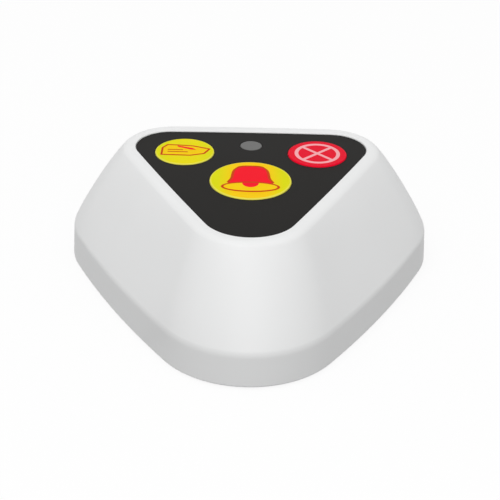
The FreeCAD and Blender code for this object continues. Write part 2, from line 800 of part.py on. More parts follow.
def switch_dome(name, place):
    """The snap leaf under a stem: a thin arched strip that stands on the well's floor."""
    x, y = place
    half, crown = "size.dome_width / 2", "size.dome_crown / 2"
    skin, rise = "size.dome_thickness", "size.dome_rise"
    profile = [(f"-{half}", "0"), (f"{skin} * 2 - {half}", "0"), (f"-{crown}", f"{rise} - {skin}"),
               (crown, f"{rise} - {skin}"), (f"{half} - {skin} * 2", "0"), (half, "0"),
               (crown, rise), (f"-{crown}", rise)]
    floor = f"({BOARD_TOP} + size.switch_well_floor)"
    return bent_strip(f"{name}_switch_dome", profile, "size.dome_crown", x, y, floor)


def lamp():
    """A 3 mm lamp: a flanged round body."""
    body = new_body("lamp")
    place_body(body, "0", LAMP_Y, BOARD_TOP)
    half = new_sketch(body, "lamp_profile", plane="XZ")
    add_loop(half, [("0", "0"), ("size.lamp_flange_radius", "0"),
                    ("size.lamp_flange_radius", "size.lamp_flange_height"),
                    ("size.lamp_radius", "size.lamp_flange_height"),
                    ("size.lamp_radius", "size.lamp_length"), ("0", "size.lamp_length")])
    revolve(body, half, "lamp_body")
    return body


def lamp_pins():
    body = new_body("lamp_pins")
    pins = new_sketch(body, "pin_squares", BOARD_TOP)
    for side in (-1, 1):
        add_centred_box(pins, (f"({side} * size.lamp_pin_pitch / 2)", LAMP_Y),
                        "size.lamp_pin_width", "size.lamp_pin_width")
    pad(body, pins, "pins", "size.board_thickness + size.contact_tail_length", downwards=True)
    return body


# ---- battery bay ----------------------------------------------------------------------------
def add_bay_box(sketch, growth):
    """The bay's rectangle round the battery and its contacts, grown on every side."""
    add_box_loop(sketch, f"-{HALF_BAY} - {growth}", f"{HALF_BAY} + {growth}",
                 f"{CELL_Y} - {BAY_HALF_WIDTH} - {growth}", f"{CELL_Y} + {BAY_HALF_WIDTH} + {growth}")


def hook_spans():
    """For each of the door's four hooks: its stem's left end, and the side it is on."""
    return [(left, side) for left in ("-size.hook_left_x", "size.hook_right_x") for side in (-1, 1)]


def base_plate():
    """The bottom plate: seats for the shell's bosses, posts for the board, and the battery bay."""
    body = new_body("base_plate")
    outline = new_sketch(body, "plate_outline", LOWER_EDGE)
    add_triangle(outline, grown(CREASE_OUTLINE, "-(size.wall + size.plate_gap)"))
    pad(body, outline, "plate", "size.plate_thickness")
    seats = new_sketch(body, "seat_squares", LOWER_EDGE)
    for place in SCREW_PLACES:
        add_centred_box(seats, place, "(size.boss_radius * 2)", "(size.boss_radius * 2)")
    pad(body, seats, "boss_seats", "size.boss_seat_height")
    posts = new_sketch(body, "post_squares", LOWER_EDGE)
    for place in POST_PLACES:
        add_centred_box(posts, place, "size.board_post_width", "size.board_post_width")
    pad(body, posts, "board_posts", f"{BOARD_UNDER} - {LOWER_EDGE}")
    stakes = new_sketch(body, "stake_squares", BOARD_UNDER)
    for place in POST_PLACES:
        add_centred_box(stakes, place, "size.board_stake_width", "size.board_stake_width")
    pad(body, stakes, "stakes", "size.board_thickness + size.board_stake_height")
    frame = new_sketch(body, "door_frame", LOWER_EDGE)
    frame_margin = "(size.door_gap + size.bay_wall)"
    half_length = "(size.door_length / 2)"
    half_width = f"(size.door_width / 2 + {frame_margin})"
    add_box_loop(frame, f"-{half_length} - size.door_travel - {frame_margin}",
                 f"{half_length} + {frame_margin}",
                 f"{CELL_Y} - {half_width}", f"{CELL_Y} + {half_width}")
    pad(body, frame, "frame", f"{FRAME_TOP} - {LOWER_EDGE}")
    walls = new_sketch(body, "bay_walls", LOWER_EDGE)
    add_bay_box(walls, "size.bay_wall")
    pad(body, walls, "bay_block", f"{BOARD_UNDER} - {LOWER_EDGE}")
    bay = new_sketch(body, "bay_inside", LOWER_EDGE)
    add_bay_box(bay, "0")
    pocket(body, bay, "bay", f"{BOARD_UNDER} - {LOWER_EDGE}", upwards=True)
    recess = new_sketch(body, "door_recess", LOWER_EDGE)
    add_box_loop(recess, f"-{half_length} - size.door_travel - size.door_gap",
                 f"{half_length} + size.door_gap",
                 f"{CELL_Y} - size.door_width / 2 - size.door_gap",
                 f"{CELL_Y} + size.door_width / 2 + size.door_gap")
    pocket(body, recess, "recess", f"{DOOR_SEAT} - {LOWER_EDGE}", upwards=True)
    slots = new_sketch(body, "hook_slots", LOWER_EDGE)
    for left, side in hook_spans():
        near = f"({CELL_Y} + {side} * ({HOOK_OUTER} - size.hook_thickness - size.guide_gap))"
        far = f"({CELL_Y} + {side} * ({HOOK_OUTER} + size.guide_gap))"
        low, high = (near, far) if side > 0 else (far, near)
        add_box_loop(slots, f"{left} - size.door_travel - size.door_gap",
                     f"{left} + size.hook_length + size.door_gap", low, high)
    pocket(body, slots, "slots", f"{FRAME_TOP} - {LOWER_EDGE}", upwards=True)
    sinks = new_sketch(body, "screw_sinks", LOWER_EDGE)
    for place in SCREW_PLACES:
        add_circle(sinks, place, "size.screw_head_radius + size.head_gap")
    pocket(body, sinks, "sinks", "size.screw_sink", upwards=True)
    holes = new_sketch(body, "screw_holes", LOWER_EDGE)
    for place in SCREW_PLACES:
        add_circle(holes, place, "size.screw_radius + size.guide_gap")
    pocket(body, holes, "holes", "size.boss_seat_height", upwards=True)
    return body


def battery_door():
    """A plate with finger ridges under it and four hooks on top that slide over the frame."""
    body = new_body("battery_door")
    plate = new_sketch(body, "door_outline", LOWER_EDGE)
    add_box_loop(plate, "-size.door_length / 2", "size.door_length / 2",
                 f"{CELL_Y} - size.door_width / 2", f"{CELL_Y} + size.door_width / 2")
    pad(body, plate, "door", "size.door_thickness")
    stems = new_sketch(body, "stem_outlines", DOOR_TOP)
    toe_under = f"({FRAME_TOP} + size.door_rise_gap)"
    toes = new_sketch(body, "toe_outlines", toe_under)
    for left, side in hook_spans():
        near = f"({CELL_Y} + {side} * ({HOOK_OUTER} - size.hook_thickness))"
        far = f"({CELL_Y} + {side} * {HOOK_OUTER})"
        low, high = (near, far) if side > 0 else (far, near)
        add_box_loop(stems, left, f"{left} + size.hook_length", low, high)
        add_box_loop(toes, left, f"{left} + size.hook_length + size.hook_toe", low, high)
    pad(body, stems, "stems", f"{toe_under} - {DOOR_TOP}")
    pad(body, toes, "toes", "size.hook_toe_thickness")
    groove = new_sketch(body, "ridge_groove", LOWER_EDGE)
    add_box_loop(groove, "size.ridge_x", "size.ridge_x + size.ridge_width",
                 f"{CELL_Y} - size.ridge_length / 2", f"{CELL_Y} + size.ridge_length / 2")
    first = pocket(body, groove, "first_groove", "size.ridge_depth", upwards=True)
    ridges = body.newObject("PartDesign::LinearPattern", "finger_ridges")
    ridges.Originals = [first]
    ridges.Direction = (groove, ["H_Axis"])
    ridges.setExpression("Length", "size.ridge_pitch * (size.ridge_count - 1)")
    ridges.setExpression("Occurrences", "size.ridge_count")
    body.Tip = ridges
    doc.recompute()
    return body


def battery():
    """A 12 V cell about its own X axis: a can with a raised plus end."""
    body = new_body("battery")
    place_body(body, f"{HALF_BAY} - size.contact_thickness - size.cell_length", CELL_Y, CELL_AXIS)
    half = new_sketch(body, "can_profile")
    shoulder = "(size.cell_length - size.cell_nub_length)"
    add_loop(half, [("0", "0"), ("size.cell_length", "0"), ("size.cell_length", "size.cell_nub_radius"),
                    (shoulder, "size.cell_nub_radius"), (shoulder, "size.cell_radius"),
                    ("0", "size.cell_radius")])
    revolve(body, half, "can", "H_Axis")
    return body


def contact(label, x):
    """A plated strip that stands at one end of the bay, its tail soldered through the board."""
    body = new_body(label)
    strip = new_sketch(body, "strip_outline", f"{DOOR_SEAT} + size.contact_foot_lift")
    add_centred_box(strip, (x, CELL_Y), "size.contact_thickness", "size.contact_width")
    pad(body, strip, "strip", f"{BOARD_UNDER} - {DOOR_SEAT} - size.contact_foot_lift")
    tail = new_sketch(body, "tail_outline", BOARD_UNDER)
    add_centred_box(tail, (x, CELL_Y), "size.contact_thickness", "size.contact_tail_width")
    pad(body, tail, "tail", "size.board_thickness + size.contact_tail_length")
    return body


def battery_spring():
    """The minus end's leaf: a foot flat on its contact, an arm, and a nose on the battery."""
    thickness, length = "size.spring_thickness", "size.spring_length"
    profile = [("0", "-size.spring_foot"), (thickness, "-size.spring_foot"),
               (thickness, "-size.spring_bend"), (length, "-size.spring_nose"),
               (length, "size.spring_nose"), (f"{length} - {thickness}", "size.spring_nose"),
               (f"{length} - {thickness}", f"{thickness} - size.spring_nose"),
               ("0", f"2 * {thickness} - size.spring_bend")]
    return bent_strip("battery_spring", profile, "size.spring_width",
                      f"size.contact_thickness - {HALF_BAY}", CELL_Y, CELL_AXIS)


# ---- fasteners and feet ---------------------------------------------------------------------
def housing_screws():
    """Three pan-head screws up through the plate into the shell's bosses."""
    body = new_body("housing_screws")
    seat = f"({LOWER_EDGE} + size.screw_sink)"
    heads = new_sketch(body, "head_circles", seat)
    shanks = new_sketch(body, "shank_circles", seat)
    for place in SCREW_PLACES:
        add_circle(heads, place, "size.screw_head_radius")
        add_circle(shanks, place, "size.screw_radius")
    pad(body, heads, "heads", "size.screw_head_height", downwards=True)
    pad(body, shanks, "shanks", "size.screw_length")
    return body


def rubber_feet():
    body = new_body("rubber_feet")
    pads = new_sketch(body, "foot_circles")
    for place in FOOT_PLACES:
        add_circle(pads, place, "size.foot_radius")
    pad(body, pads, "feet", "size.foot_stand")
    return body


# ---- small parts on the board ----------------------------------------------------------------
def chip():
    body = new_body("control_chip")
    block = new_sketch(body, "chip_outline", f"{BOARD_TOP} + size.chip_stand")
    add_centred_box(block, CHIP_PLACE, "size.chip_length", "size.chip_width")
    pad(body, block, "chip_block", "size.chip_height")
    return body


def chip_leads():
    """The leads along the chip's two long sides."""
    body = new_body("chip_leads")
    leads = new_sketch(body, "lead_outlines", BOARD_TOP)
    x, y = CHIP_PLACE
    for side in (-1, 1):
        lead_y = f"({y} + {side} * (size.chip_width + size.chip_lead_reach) / 2)"
        for step in range(LEADS_PER_SIDE):
            lead_x = f"({x} + ({step} - {(LEADS_PER_SIDE - 1) / 2}) * size.chip_lead_pitch)"
            add_centred_box(leads, (lead_x, lead_y), "size.chip_lead_width", "size.chip_lead_reach")
    pad(body, leads, "leads", "size.chip_stand + size.chip_lead_height")
    return body


def round_can(label, place, radius, height):
    """A round part that stands on the board."""
    body = new_body(label)
    can = new_sketch(body, "can_circle", BOARD_TOP)
    add_circle(can, place, radius)
    pad(body, can, "can", height)
    return body


def resistors():
    """A row of small chip resistors."""
    body = new_body("chip_resistors")
    blocks = new_sketch(body, "resistor_outlines", BOARD_TOP)
    for step in range(RESISTORS):
        y = f"({MIDDLE_Y} + size.resistor_y - {step} * size.resistor_pitch)"
        x = f"(size.resistor_inset - {SMALL_KEY_X})"
        add_centred_box(blocks, (x, y), "size.resistor_length", "size.resistor_width")
    pad(body, blocks, "blocks", "size.resistor_height")
    return body


def aerial():
    """The stamped aerial: a flat hoop with a leg at each end."""
    half, thickness, height = "size.aerial_length / 2", "size.aerial_thickness", "size.aerial_height"
    profile = [(f"-{half}", "0"), (f"{thickness} - {half}", "0"),
               (f"{thickness} - {half}", f"{height} - {thickness}"),
               (f"{half} - {thickness}", f"{height} - {thickness}"), (f"{half} - {thickness}", "0"),
               (half, "0"), (half, height), (f"-{half}", height)]
    return bent_strip("aerial", profile, thickness, "0", f"{MIDDLE_Y} - size.aerial_y",
                      BOARD_TOP)


# ---- build and write ------------------------------------------------------------------------
core = join("Part::Cut", "core_with_bosses_left", core_block(), boss_block())
hollow = join("Part::Cut", "hollow_shell", housing_block(), core)
parts = [top_shell(hollow), base_plate(), battery_door(), printed_film()]
for name, (place, radius, guide_side) in KEYS.items():
    parts += [key(name, place, radius), switch_stem(name, place), switch_dome(name, place)]
parts += [lamp_guide(), lamp(), lamp_pins(), circuit_board(), switch_bases(), switch_covers(),
          switch_legs(), battery(), battery_spring(), contact("minus_contact", LEFT_CONTACT_X),
          contact("plus_contact", RIGHT_CONTACT_X), rubber_feet()]
parts += [housing_screws(), chip(), chip_leads(), resistors(), aerial()]
parts.append(round_can("resonator_can", CAN_PLACE, "size.can_radius", "size.can_height"))
parts.append(round_can("capacitor", CAPACITOR_PLACE, "size.capacitor_radius", "size.capacitor_height"))
doc.recompute()

for item in doc.Objects:
    if "Invalid" in item.State or "Error" in item.State:
        raise RuntimeError(f"{item.Label} failed: {item.State}")
for part in parts:
    if part.Shape.isNull() or not part.Shape.isValid():
        raise RuntimeError(f"{part.Label} has no valid shape")

os.makedirs("parts", exist_ok=True)
for part in parts:
    part.Shape.exportStep(f"parts/{part.Label}.step")
    print(part.Label, len(part.Shape.Solids), round(part.Shape.Volume, 2))
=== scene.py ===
import json
from collections import namedtuple
from math import atan2, cos, pi, radians, sin, sqrt

import bmesh
import bpy
from mathutils import Matrix, Vector

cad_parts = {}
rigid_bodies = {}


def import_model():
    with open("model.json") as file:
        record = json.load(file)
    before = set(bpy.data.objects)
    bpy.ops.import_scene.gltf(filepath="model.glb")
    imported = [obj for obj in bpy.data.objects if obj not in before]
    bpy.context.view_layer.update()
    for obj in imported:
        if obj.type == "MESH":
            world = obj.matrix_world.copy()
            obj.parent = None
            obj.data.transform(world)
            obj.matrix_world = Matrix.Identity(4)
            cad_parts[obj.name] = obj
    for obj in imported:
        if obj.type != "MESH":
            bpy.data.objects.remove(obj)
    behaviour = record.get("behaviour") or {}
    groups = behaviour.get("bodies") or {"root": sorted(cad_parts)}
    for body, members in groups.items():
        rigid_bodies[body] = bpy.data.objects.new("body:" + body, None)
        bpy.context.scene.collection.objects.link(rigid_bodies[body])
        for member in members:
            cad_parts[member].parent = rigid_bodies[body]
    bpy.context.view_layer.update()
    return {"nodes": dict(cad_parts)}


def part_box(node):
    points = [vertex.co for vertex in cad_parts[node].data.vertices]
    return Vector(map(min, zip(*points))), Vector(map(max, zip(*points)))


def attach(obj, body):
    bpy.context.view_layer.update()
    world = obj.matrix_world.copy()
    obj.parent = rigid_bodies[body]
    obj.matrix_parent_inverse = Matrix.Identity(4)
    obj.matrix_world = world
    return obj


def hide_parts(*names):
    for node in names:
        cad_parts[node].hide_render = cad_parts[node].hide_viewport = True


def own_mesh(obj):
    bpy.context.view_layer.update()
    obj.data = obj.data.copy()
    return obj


bl_info = {
    "name": "Table call button",
    "version": (1, 0, 0),
    "blender": (4, 5, 0),
    "location": "View3D > Sidebar > Call button",
    "description": "Builds a wireless table call button around its packed solids",
    "category": "Add Mesh",
}

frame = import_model()


def node_box(node):
    """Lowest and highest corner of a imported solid."""
    return [Vector(corner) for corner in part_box(node)]


NODES = frame["nodes"]
SHELL_LOW, SHELL_HIGH = node_box("top_shell")
FILM_LOW, FILM_HIGH = node_box("printed_film")
KEYS = ("call", "bill", "cancel")
MM = 0.001
WELD = 0.002 * MM  # vertices that are closer than this become one
DOWN = (0, 0, -1)
WHITE = (1, 1, 1, 1)


# ---- sizes and colours that a user would change ----
def length(name, description, millimetres):
    return bpy.props.FloatProperty(name=name, description=description, unit="LENGTH",
                                   default=millimetres * MM)


def number(name, description, default, **kind):
    return bpy.props.FloatProperty(name=name, description=description, default=default, **kind)


def colour(name, description, default):
    return bpy.props.FloatVectorProperty(name=name, description=description, subtype="COLOR",
                                         size=3, min=0, max=1, default=default)


def point(name, description, default):
    return bpy.props.FloatVectorProperty(name=name, description=description, size=3,
                                         subtype="TRANSLATION", default=default)


class HousingSizes(bpy.types.PropertyGroup):
    corner_radius: length("Corner radius", "Radius of the three corners seen from above", 22.0)
    side_radius: length("Side radius", "Radius of the slightly bowed sides", 240.0)
    crease_height: length("Crease height", "Height where skirt and sloping faces meet", 8.1)
    skirt_draft: length("Skirt draft", "How far the skirt leans in at the crease", 0.44)
    fullness: number("Fullness", "Bulge of the sloping faces, 1 for flat", 1.11)
    tip_softness: length("Tip softness", "Half width of the crease's rounding at the tip", 0.8)
    back_softness: length("Back softness", "Half width of that rounding at the back", 0.5)
    panel_tip_radius: length("Panel tip radius", "Radius of the panel's tip", 10.5)
    panel_back_radius: length("Panel back radius", "Radius of the panel's back corners", 8.2)
    panel_side_radius: length("Panel side radius", "Radius of its almost straight sides", 900.0)
    rim_width: length("Rim width", "Width of the flat rim round the panel, unrounded", 2.64)
    rim_tip_radius: length("Rim tip radius", "Radius of the rim round the panel's tip", 13.53)
    rim_back_radius: length("Rim back radius", "Radius of the rim's back corners", 11.38)
    back_rim: length("Back rim", "How much wider the rim is behind the panel", 0.6)
    rim_round: length("Rim rounding", "Reach of the rim's outer rounding along each face", 1.1)
    lip_round: length("Lip rounding", "Rounding of the lip round the recess", 0.25)
    skirt_drop: length("Skirt drop", "How far the skirt reaches below the bottom plate", 0.4)
    foot_round: length("Foot rounding", "Rounding of the skirt's lower edge", 0.4)
    recess_depth: length("Recess depth", "Depth of the recess that holds the film", 0.8)
    film_gap: length("Film gap", "Clearance between the film and the recess", 0.15)
    ceiling: length("Ceiling thickness", "Thickness of the shell under the film", 1.8)
    wall: length("Wall", "Thickness of the skirt", 2.2)
    shoulder_height: length("Shoulder height", "Height where the inside starts leaning", 7.45)
    shoulder_step: length("Shoulder step", "Width of the ledge at that height", 0.4)
    inner_run: length("Inner run", "How far the inside leans in by the ceiling", 10.4)
    screw_reach: length("Screw reach", "Distance of each screw from its corner's centre", 8.25)
    boss_radius: length("Boss radius", "Radius of the screw bosses inside", 3.3)
    boss_seat: length("Boss seat", "Height of the screw bosses' lower ends", 4.4)
    pilot_radius: length("Pilot radius", "Radius of the screw holes in the bosses", 1.35)
    pilot_depth: length("Pilot depth", "Depth of the screw holes in the bosses", 8.3)
    rib: length("Rib", "Thickness of the plate's stop ribs inside", 1.2)
    rib_low: length("Rib foot", "Height of the stop ribs' lower ends", 2.8)
    rib_height: length("Rib height", "Height of the stop ribs themselves", 5.0)
    rib_depth: length("Rib depth", "How far the stop ribs reach in from the outline", 7.5)
    rib_spread: length("Rib spread", "Distance from one stop rib to the next", 11.0)
    guide: length("Guide", "Thickness of the ribs that guide the keys' ears", 1.0)
    guide_reach: length("Guide reach", "Width of those guide ribs", 2.0)
    guide_drop: length("Guide drop", "How far they hang from the ceiling", 3.0)
    guide_gap: length("Guide gap", "Clearance between a guide rib and its ear", 0.15)


class KeySizes(bpy.types.PropertyGroup):
    call_radius: length("Call key radius", "Radius of the large key", 9.31)
    small_radius: length("Small key radius", "Radius of the two small keys", 6.96)
    window_radius: length("Window radius", "Radius of the lamp window", 2.59)
    gap: length("Gap", "Clearance round each key", 0.1)
    ear_width: length("Ear width", "Width of the four ears under each key", 2.4)
    ear_reach: length("Ear reach", "How far the ears stand out beyond the cap", 1.0)
    ear_thickness: length("Ear thickness", "Thickness of the ears", 1.2)
    post_width: length("Post width", "Width of the square post that presses the switch", 3.0)
    post_length: length("Post length", "Length of that post", 2.75)
    edge_round: length("Edge rounding", "Rounding of each key's upper edge", 0.3)
    settling: length("Settling", "How far the caps sit below the top of their solids", 0.2)
    ink: length("Ink thickness", "Thickness of one layer of the printed pictures", 0.012)
    line: length("Line width", "Width of the drawn lines", 0.6)
    dome_skin: length("Dome thickness", "Thickness of the snap domes' steel", 0.08)


class FastenerSizes(bpy.types.PropertyGroup):
    head_radius: length("Head radius", "Radius of the screws' pan heads", 2.5)
    head_height: length("Head height", "Height of the screws' pan heads", 1.8)
    thread_radius: length("Thread radius", "Outer radius of the thread", 1.3)
    thread_pitch: length("Thread pitch", "Distance from one thread to the next", 0.8)
    screw_length: length("Screw length", "Length of the screws under their heads", 8.0)
    foot_reach: length("Foot reach", "Distance of each foot from its corner's centre", 15.55)
    foot_radius: length("Foot radius", "Radius of the rubber feet", 3.2)
    edge: length("Edge rounding", "Rounding of the plate's, door's and film's edges", 0.12)


class Finishes(bpy.types.PropertyGroup):
    shell: colour("Shell", "White moulded plastic of the housing", (0.87, 0.875, 0.875))
    film: colour("Film", "Dark printed film", (0.0150, 0.0140, 0.0130))
    yellow: colour("Key yellow", "Warm yellow in the call key's middle", (1.0, 0.63, 0.001))
    lime: colour("Key lime", "Greener yellow towards the sides", (0.77, 0.755, 0.001))
    lemon: colour("Key lemon", "Clear yellow of the bill key", (0.86, 0.76, 0.001))
    # painted highlight: this paler yellow, laid as a thin ring round each yellow key's edge, stands
    # in for light catching the raised rim
    pale: colour("Key edge", "Paler yellow at the yellow keys' edges", (0.86, 0.80, 0.10))
    red: colour("Key red", "Red of the cancel key", (0.84, 0.003, 0.026))
    pink: colour("Key pink", "Pale ring and cross on the cancel key", (0.98, 0.44, 0.47))
    bell: colour("Bell red", "Red of the printed bell", (0.98, 0.008, 0.024))
    line: colour("Line orange", "Orange-red of the drawn lines", (0.64, 0.055, 0.004))
    glow: colour("Glow", "Orange yellow inside the bell's mouth", (0.98, 0.66, 0.001))


class StageSettings(bpy.types.PropertyGroup):
    camera: point("Camera", "Where the camera stands", (-0.0005, -0.26859, 0.16372))
    aim: point("Aim", "Point that the camera looks at", (0.0002, 0.00201, 0.00922))
    roll: number("Roll", "Camera's turn about its line of sight", radians(1.18), subtype="ANGLE")
    lens: number("Lens", "Focal length in millimetres", 96.15)
    room_light: number("Room light", "Strength of the even light from all round", 0.65)
    light_width: number("Light width", "Width of both soft lights", 0.8, unit="LENGTH")
    top_place: point("Top place", "Where the light overhead hangs", (-0.24, -0.44, 1.09))
    top_power: number("Top light", "Power of the light overhead", 3.4, unit="POWER")
    front_place: point("Front place", "Where the light in front stands", (0.05, -1.09, 0.51))
    front_power: number("Front light", "Power of the light in front", 3.2, unit="POWER")
    floor_width: number("Floor width", "Width of the pale floor", 6.0, unit="LENGTH")
    floor_lift: number("Floor lift", "How far the seen floor is lifted towards white", 0.88)


# ---- selecting and finishing ----
def deselect_all():
    bpy.ops.object.select_all(action="DESELECT")


def set_active(piece):
    deselect_all()
    piece.select_set(True)
    bpy.context.view_layer.objects.active = piece


def select_all():
    bpy.ops.mesh.select_all(action="SELECT")


def edit(piece, mode="EDGE"):
    """Enter edit mode with everything selected."""
    set_active(piece)
    bpy.ops.object.mode_set(mode="EDIT")
    bpy.ops.mesh.select_mode(type=mode)
    select_all()


def end_edit():
    bpy.ops.object.mode_set(mode="OBJECT")


def pick(kind, wanted):
    """In edit mode, select only the edges, faces or verts that wanted accepts."""
    mesh = bmesh.from_edit_mesh(bpy.context.edit_object.data)
    for collection in (mesh.verts, mesh.edges, mesh.faces):
        for item in collection:
            item.select = False
    mesh.normal_update()
    for item in getattr(mesh, kind):
        if wanted(item):
            item.select_set(True)
    bmesh.update_edit_mesh(bpy.context.edit_object.data)


def weld():
    """In edit mode, merge the selected vertices that coincide."""
    bpy.ops.mesh.remove_doubles(threshold=WELD)


def face_outwards():
    """In edit mode, recalculate all normals."""
    select_all()
    bpy.ops.mesh.normals_make_consistent(inside=False)


def apply_place():
    bpy.ops.object.transform_apply(location=True, rotation=True, scale=True)


def apply_modifier(piece, kind, **settings):
    set_active(piece)
    bpy.ops.object.modifier_add(type=kind)
    modifier = piece.modifiers[-1]
    for name, value in settings.items():
        setattr(modifier, name, value)
    bpy.ops.object.modifier_apply(modifier=modifier.name)


def soften_edges(piece, width):
    apply_modifier(piece, "BEVEL", width=width, segments=2, limit_method="ANGLE",
                   angle_limit=radians(40), use_clamp_overlap=True)


def dress(piece, material):
    piece.data.materials.clear()
    piece.data.materials.append(material)


def finish_piece(piece, name, body, material, replaced=(), angle=35):
    """Apply the piece's place, smooth it, name it and hand it to its body."""
    set_active(piece)
    apply_place()
    bpy.ops.object.shade_smooth_by_angle(angle=radians(angle))
    apply_modifier(piece, "WEIGHTED_NORMAL", keep_sharp=True)
    piece.name = name
    piece.data.name = name
    dress(piece, material)
    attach(piece, body)
    if replaced:
        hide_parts(*replaced)


def join_pieces(pieces):
    set_active(pieces[0])
    for piece in pieces:
        piece.select_set(True)
    bpy.ops.object.join()
    return bpy.context.object


def combine(piece, others, operation):
    """Cut the others out of a piece, or unite them with it, one after another."""
    for other in others:
        apply_modifier(piece, "BOOLEAN", operation=operation, solver="EXACT", object=other)
        bpy.data.objects.remove(other)


def added(primitive, scale=(1, 1, 1), turn=0.0, **settings):
    """Add a primitive with nothing else selected, and apply its place, scale and turn about Z."""
    deselect_all()
    primitive(**settings)
    piece = bpy.context.object
    piece.scale = scale
    piece.rotation_euler.z = turn
    apply_place()
    return piece


def block(middle, size, turn=0.0):
    """A box about its middle, turned about Z."""
    return added(bpy.ops.mesh.primitive_cube_add, size, turn, size=1, location=middle)


def round_bar(x, y, radius, low, high, sides=96):
    return added(bpy.ops.mesh.primitive_cylinder_add, vertices=sides, radius=radius,
                 depth=high - low, location=(x, y, (low + high) / 2))


# ---- rounded triangles ----
Outline = namedtuple("Outline", "x back front tip corner side")
ARC_STEPS = (30, 14, 30, 14, 30, 14)


def make_outline(low, high, tip, corner, side):
    """Corner centres and radii of a rounded triangle with bowed sides that fills a box."""
    x = (high.x - low.x) / 2 - corner
    back = high.y - side + sqrt((side - corner) ** 2 - x ** 2)
    return Outline(x, back, low.y + tip, tip, corner, side)


def grown(outline, growth):
    return outline._replace(tip=outline.tip + growth, corner=outline.corner + growth,
                            side=outline.side + growth)


def outline_arcs(outline):
    """The six tangent arcs, each a centre, radius, start bearing and sweep, from the tip on."""
    centres = [Vector((0, outline.front)), Vector((outline.x, outline.back)),
               Vector((-outline.x, outline.back))]
    radii = [outline.tip, outline.corner, outline.corner]

    def side_centre(i):
        start, end = centres[i], centres[i - 2]
        span = end - start
        near, far = outline.side - radii[i], outline.side - radii[i - 2]
        along = (near ** 2 - far ** 2 + span.length ** 2) / (2 * span.length)
        inward = Vector((-span.y, span.x)) / span.length
        return start + span / span.length * along + inward * sqrt(near ** 2 - along ** 2)

    def bearing(centre, place):
        return atan2(place.y - centre.y, place.x - centre.x)

    sides = [side_centre(i) for i in range(3)]
    arcs = []
    for i in range(3):
        start, end = bearing(sides[i - 1], centres[i]), bearing(sides[i], centres[i])
        arcs.append((centres[i], radii[i], start, (end - start) % (2 * pi)))
        start, end = end, bearing(sides[i], centres[i - 2])
        arcs.append((sides[i], outline.side, start, (end - start) % (2 * pi)))
    return arcs


def trace_ring(outline, level):
    """In edit mode, trace the outline at a height by spinning one vertex round its six arcs."""
    arcs = outline_arcs(outline)
    centre, radius, start, sweep = arcs[0]
    first = (centre.x + radius * cos(start), centre.y + radius * sin(start), level)
    bpy.ops.mesh.primitive_plane_add(size=MM, location=first)
    bpy.ops.mesh.merge(type="CENTER")
    for steps, (centre, radius, start, sweep) in zip(ARC_STEPS, arcs):
        bpy.ops.mesh.spin(steps=steps, angle=sweep, center=(centre.x, centre.y, level), axis=DOWN)
    bpy.ops.mesh.select_linked()
    weld()


def ring_band(low, high):
    """A band between two rings, each an outline and a level."""
    band = added(bpy.ops.mesh.primitive_plane_add, size=MM)
    edit(band, "VERT")
    bpy.ops.mesh.delete(type="VERT")
    trace_ring(*low)
    trace_ring(*high)
    select_all()
    bpy.ops.mesh.select_mode(type="EDGE")
    bpy.ops.mesh.bridge_edge_loops()
    end_edit()
    return band


def lofted(rings):
    """One closed solid through the rings, with its first and last ring filled."""
    solid = join_pieces([ring_band(low, high) for low, high in zip(rings, rings[1:])])
    edit(solid, "VERT")
    weld()
    bpy.ops.mesh.select_mode(type="EDGE")
    for outline, level in (rings[0], rings[-1]):
        pick("edges", lambda edge: edge.is_boundary and level_edge(edge, level))
        bpy.ops.mesh.edge_face_add()
    face_outwards()
    end_edit()
    return solid


def level_edge(edge, height, tolerance=0.01 * MM):
    return all(abs(vert.co.z - height) < tolerance for vert in edge.verts)


# ranges of a face normal's Z
UPWARDS, SLOPING, UPRIGHT = (0.99, 1), (0.2, 0.95), (-0.1, 0.1)
DOWNWARDS, NEARLY_UPRIGHT, CAP_TOP = (-1, -0.99), (-0.3, 0.3), (0.9, 1)


def between(edge, *ranges):
    """Whether each range holds the normal's Z of at least one of the edge's faces."""
    return all(any(low <= face.normal.z <= high for face in edge.link_faces)
               for low, high in ranges)


# ---- housing ----
SHARES_ABOVE_CREASE = (0.15, 0.3, 0.45, 0.6, 0.75, 0.88)
CREASE_STEPS = 14
SOFTNESS_SAMPLES = 9


def base_outline(sizes):
    """Outline of the housing's foot."""
    return make_outline(SHELL_LOW, SHELL_HIGH, sizes.corner_radius, sizes.corner_radius,
                        sizes.side_radius)


def panel_outline(sizes):
    """Outline of the film."""
    return make_outline(FILM_LOW, FILM_HIGH, sizes.panel_tip_radius, sizes.panel_back_radius,
                        sizes.panel_side_radius)


def rim_outline(sizes):
    """Outer outline of the rim round the film, wider behind it."""
    width = Vector((sizes.rim_width, sizes.rim_width, 0))
    behind = Vector((0, sizes.back_rim, 0))
    return make_outline(FILM_LOW - width, FILM_HIGH + width + behind, sizes.rim_tip_radius,
                        sizes.rim_back_radius, sizes.panel_side_radius + sizes.rim_width)


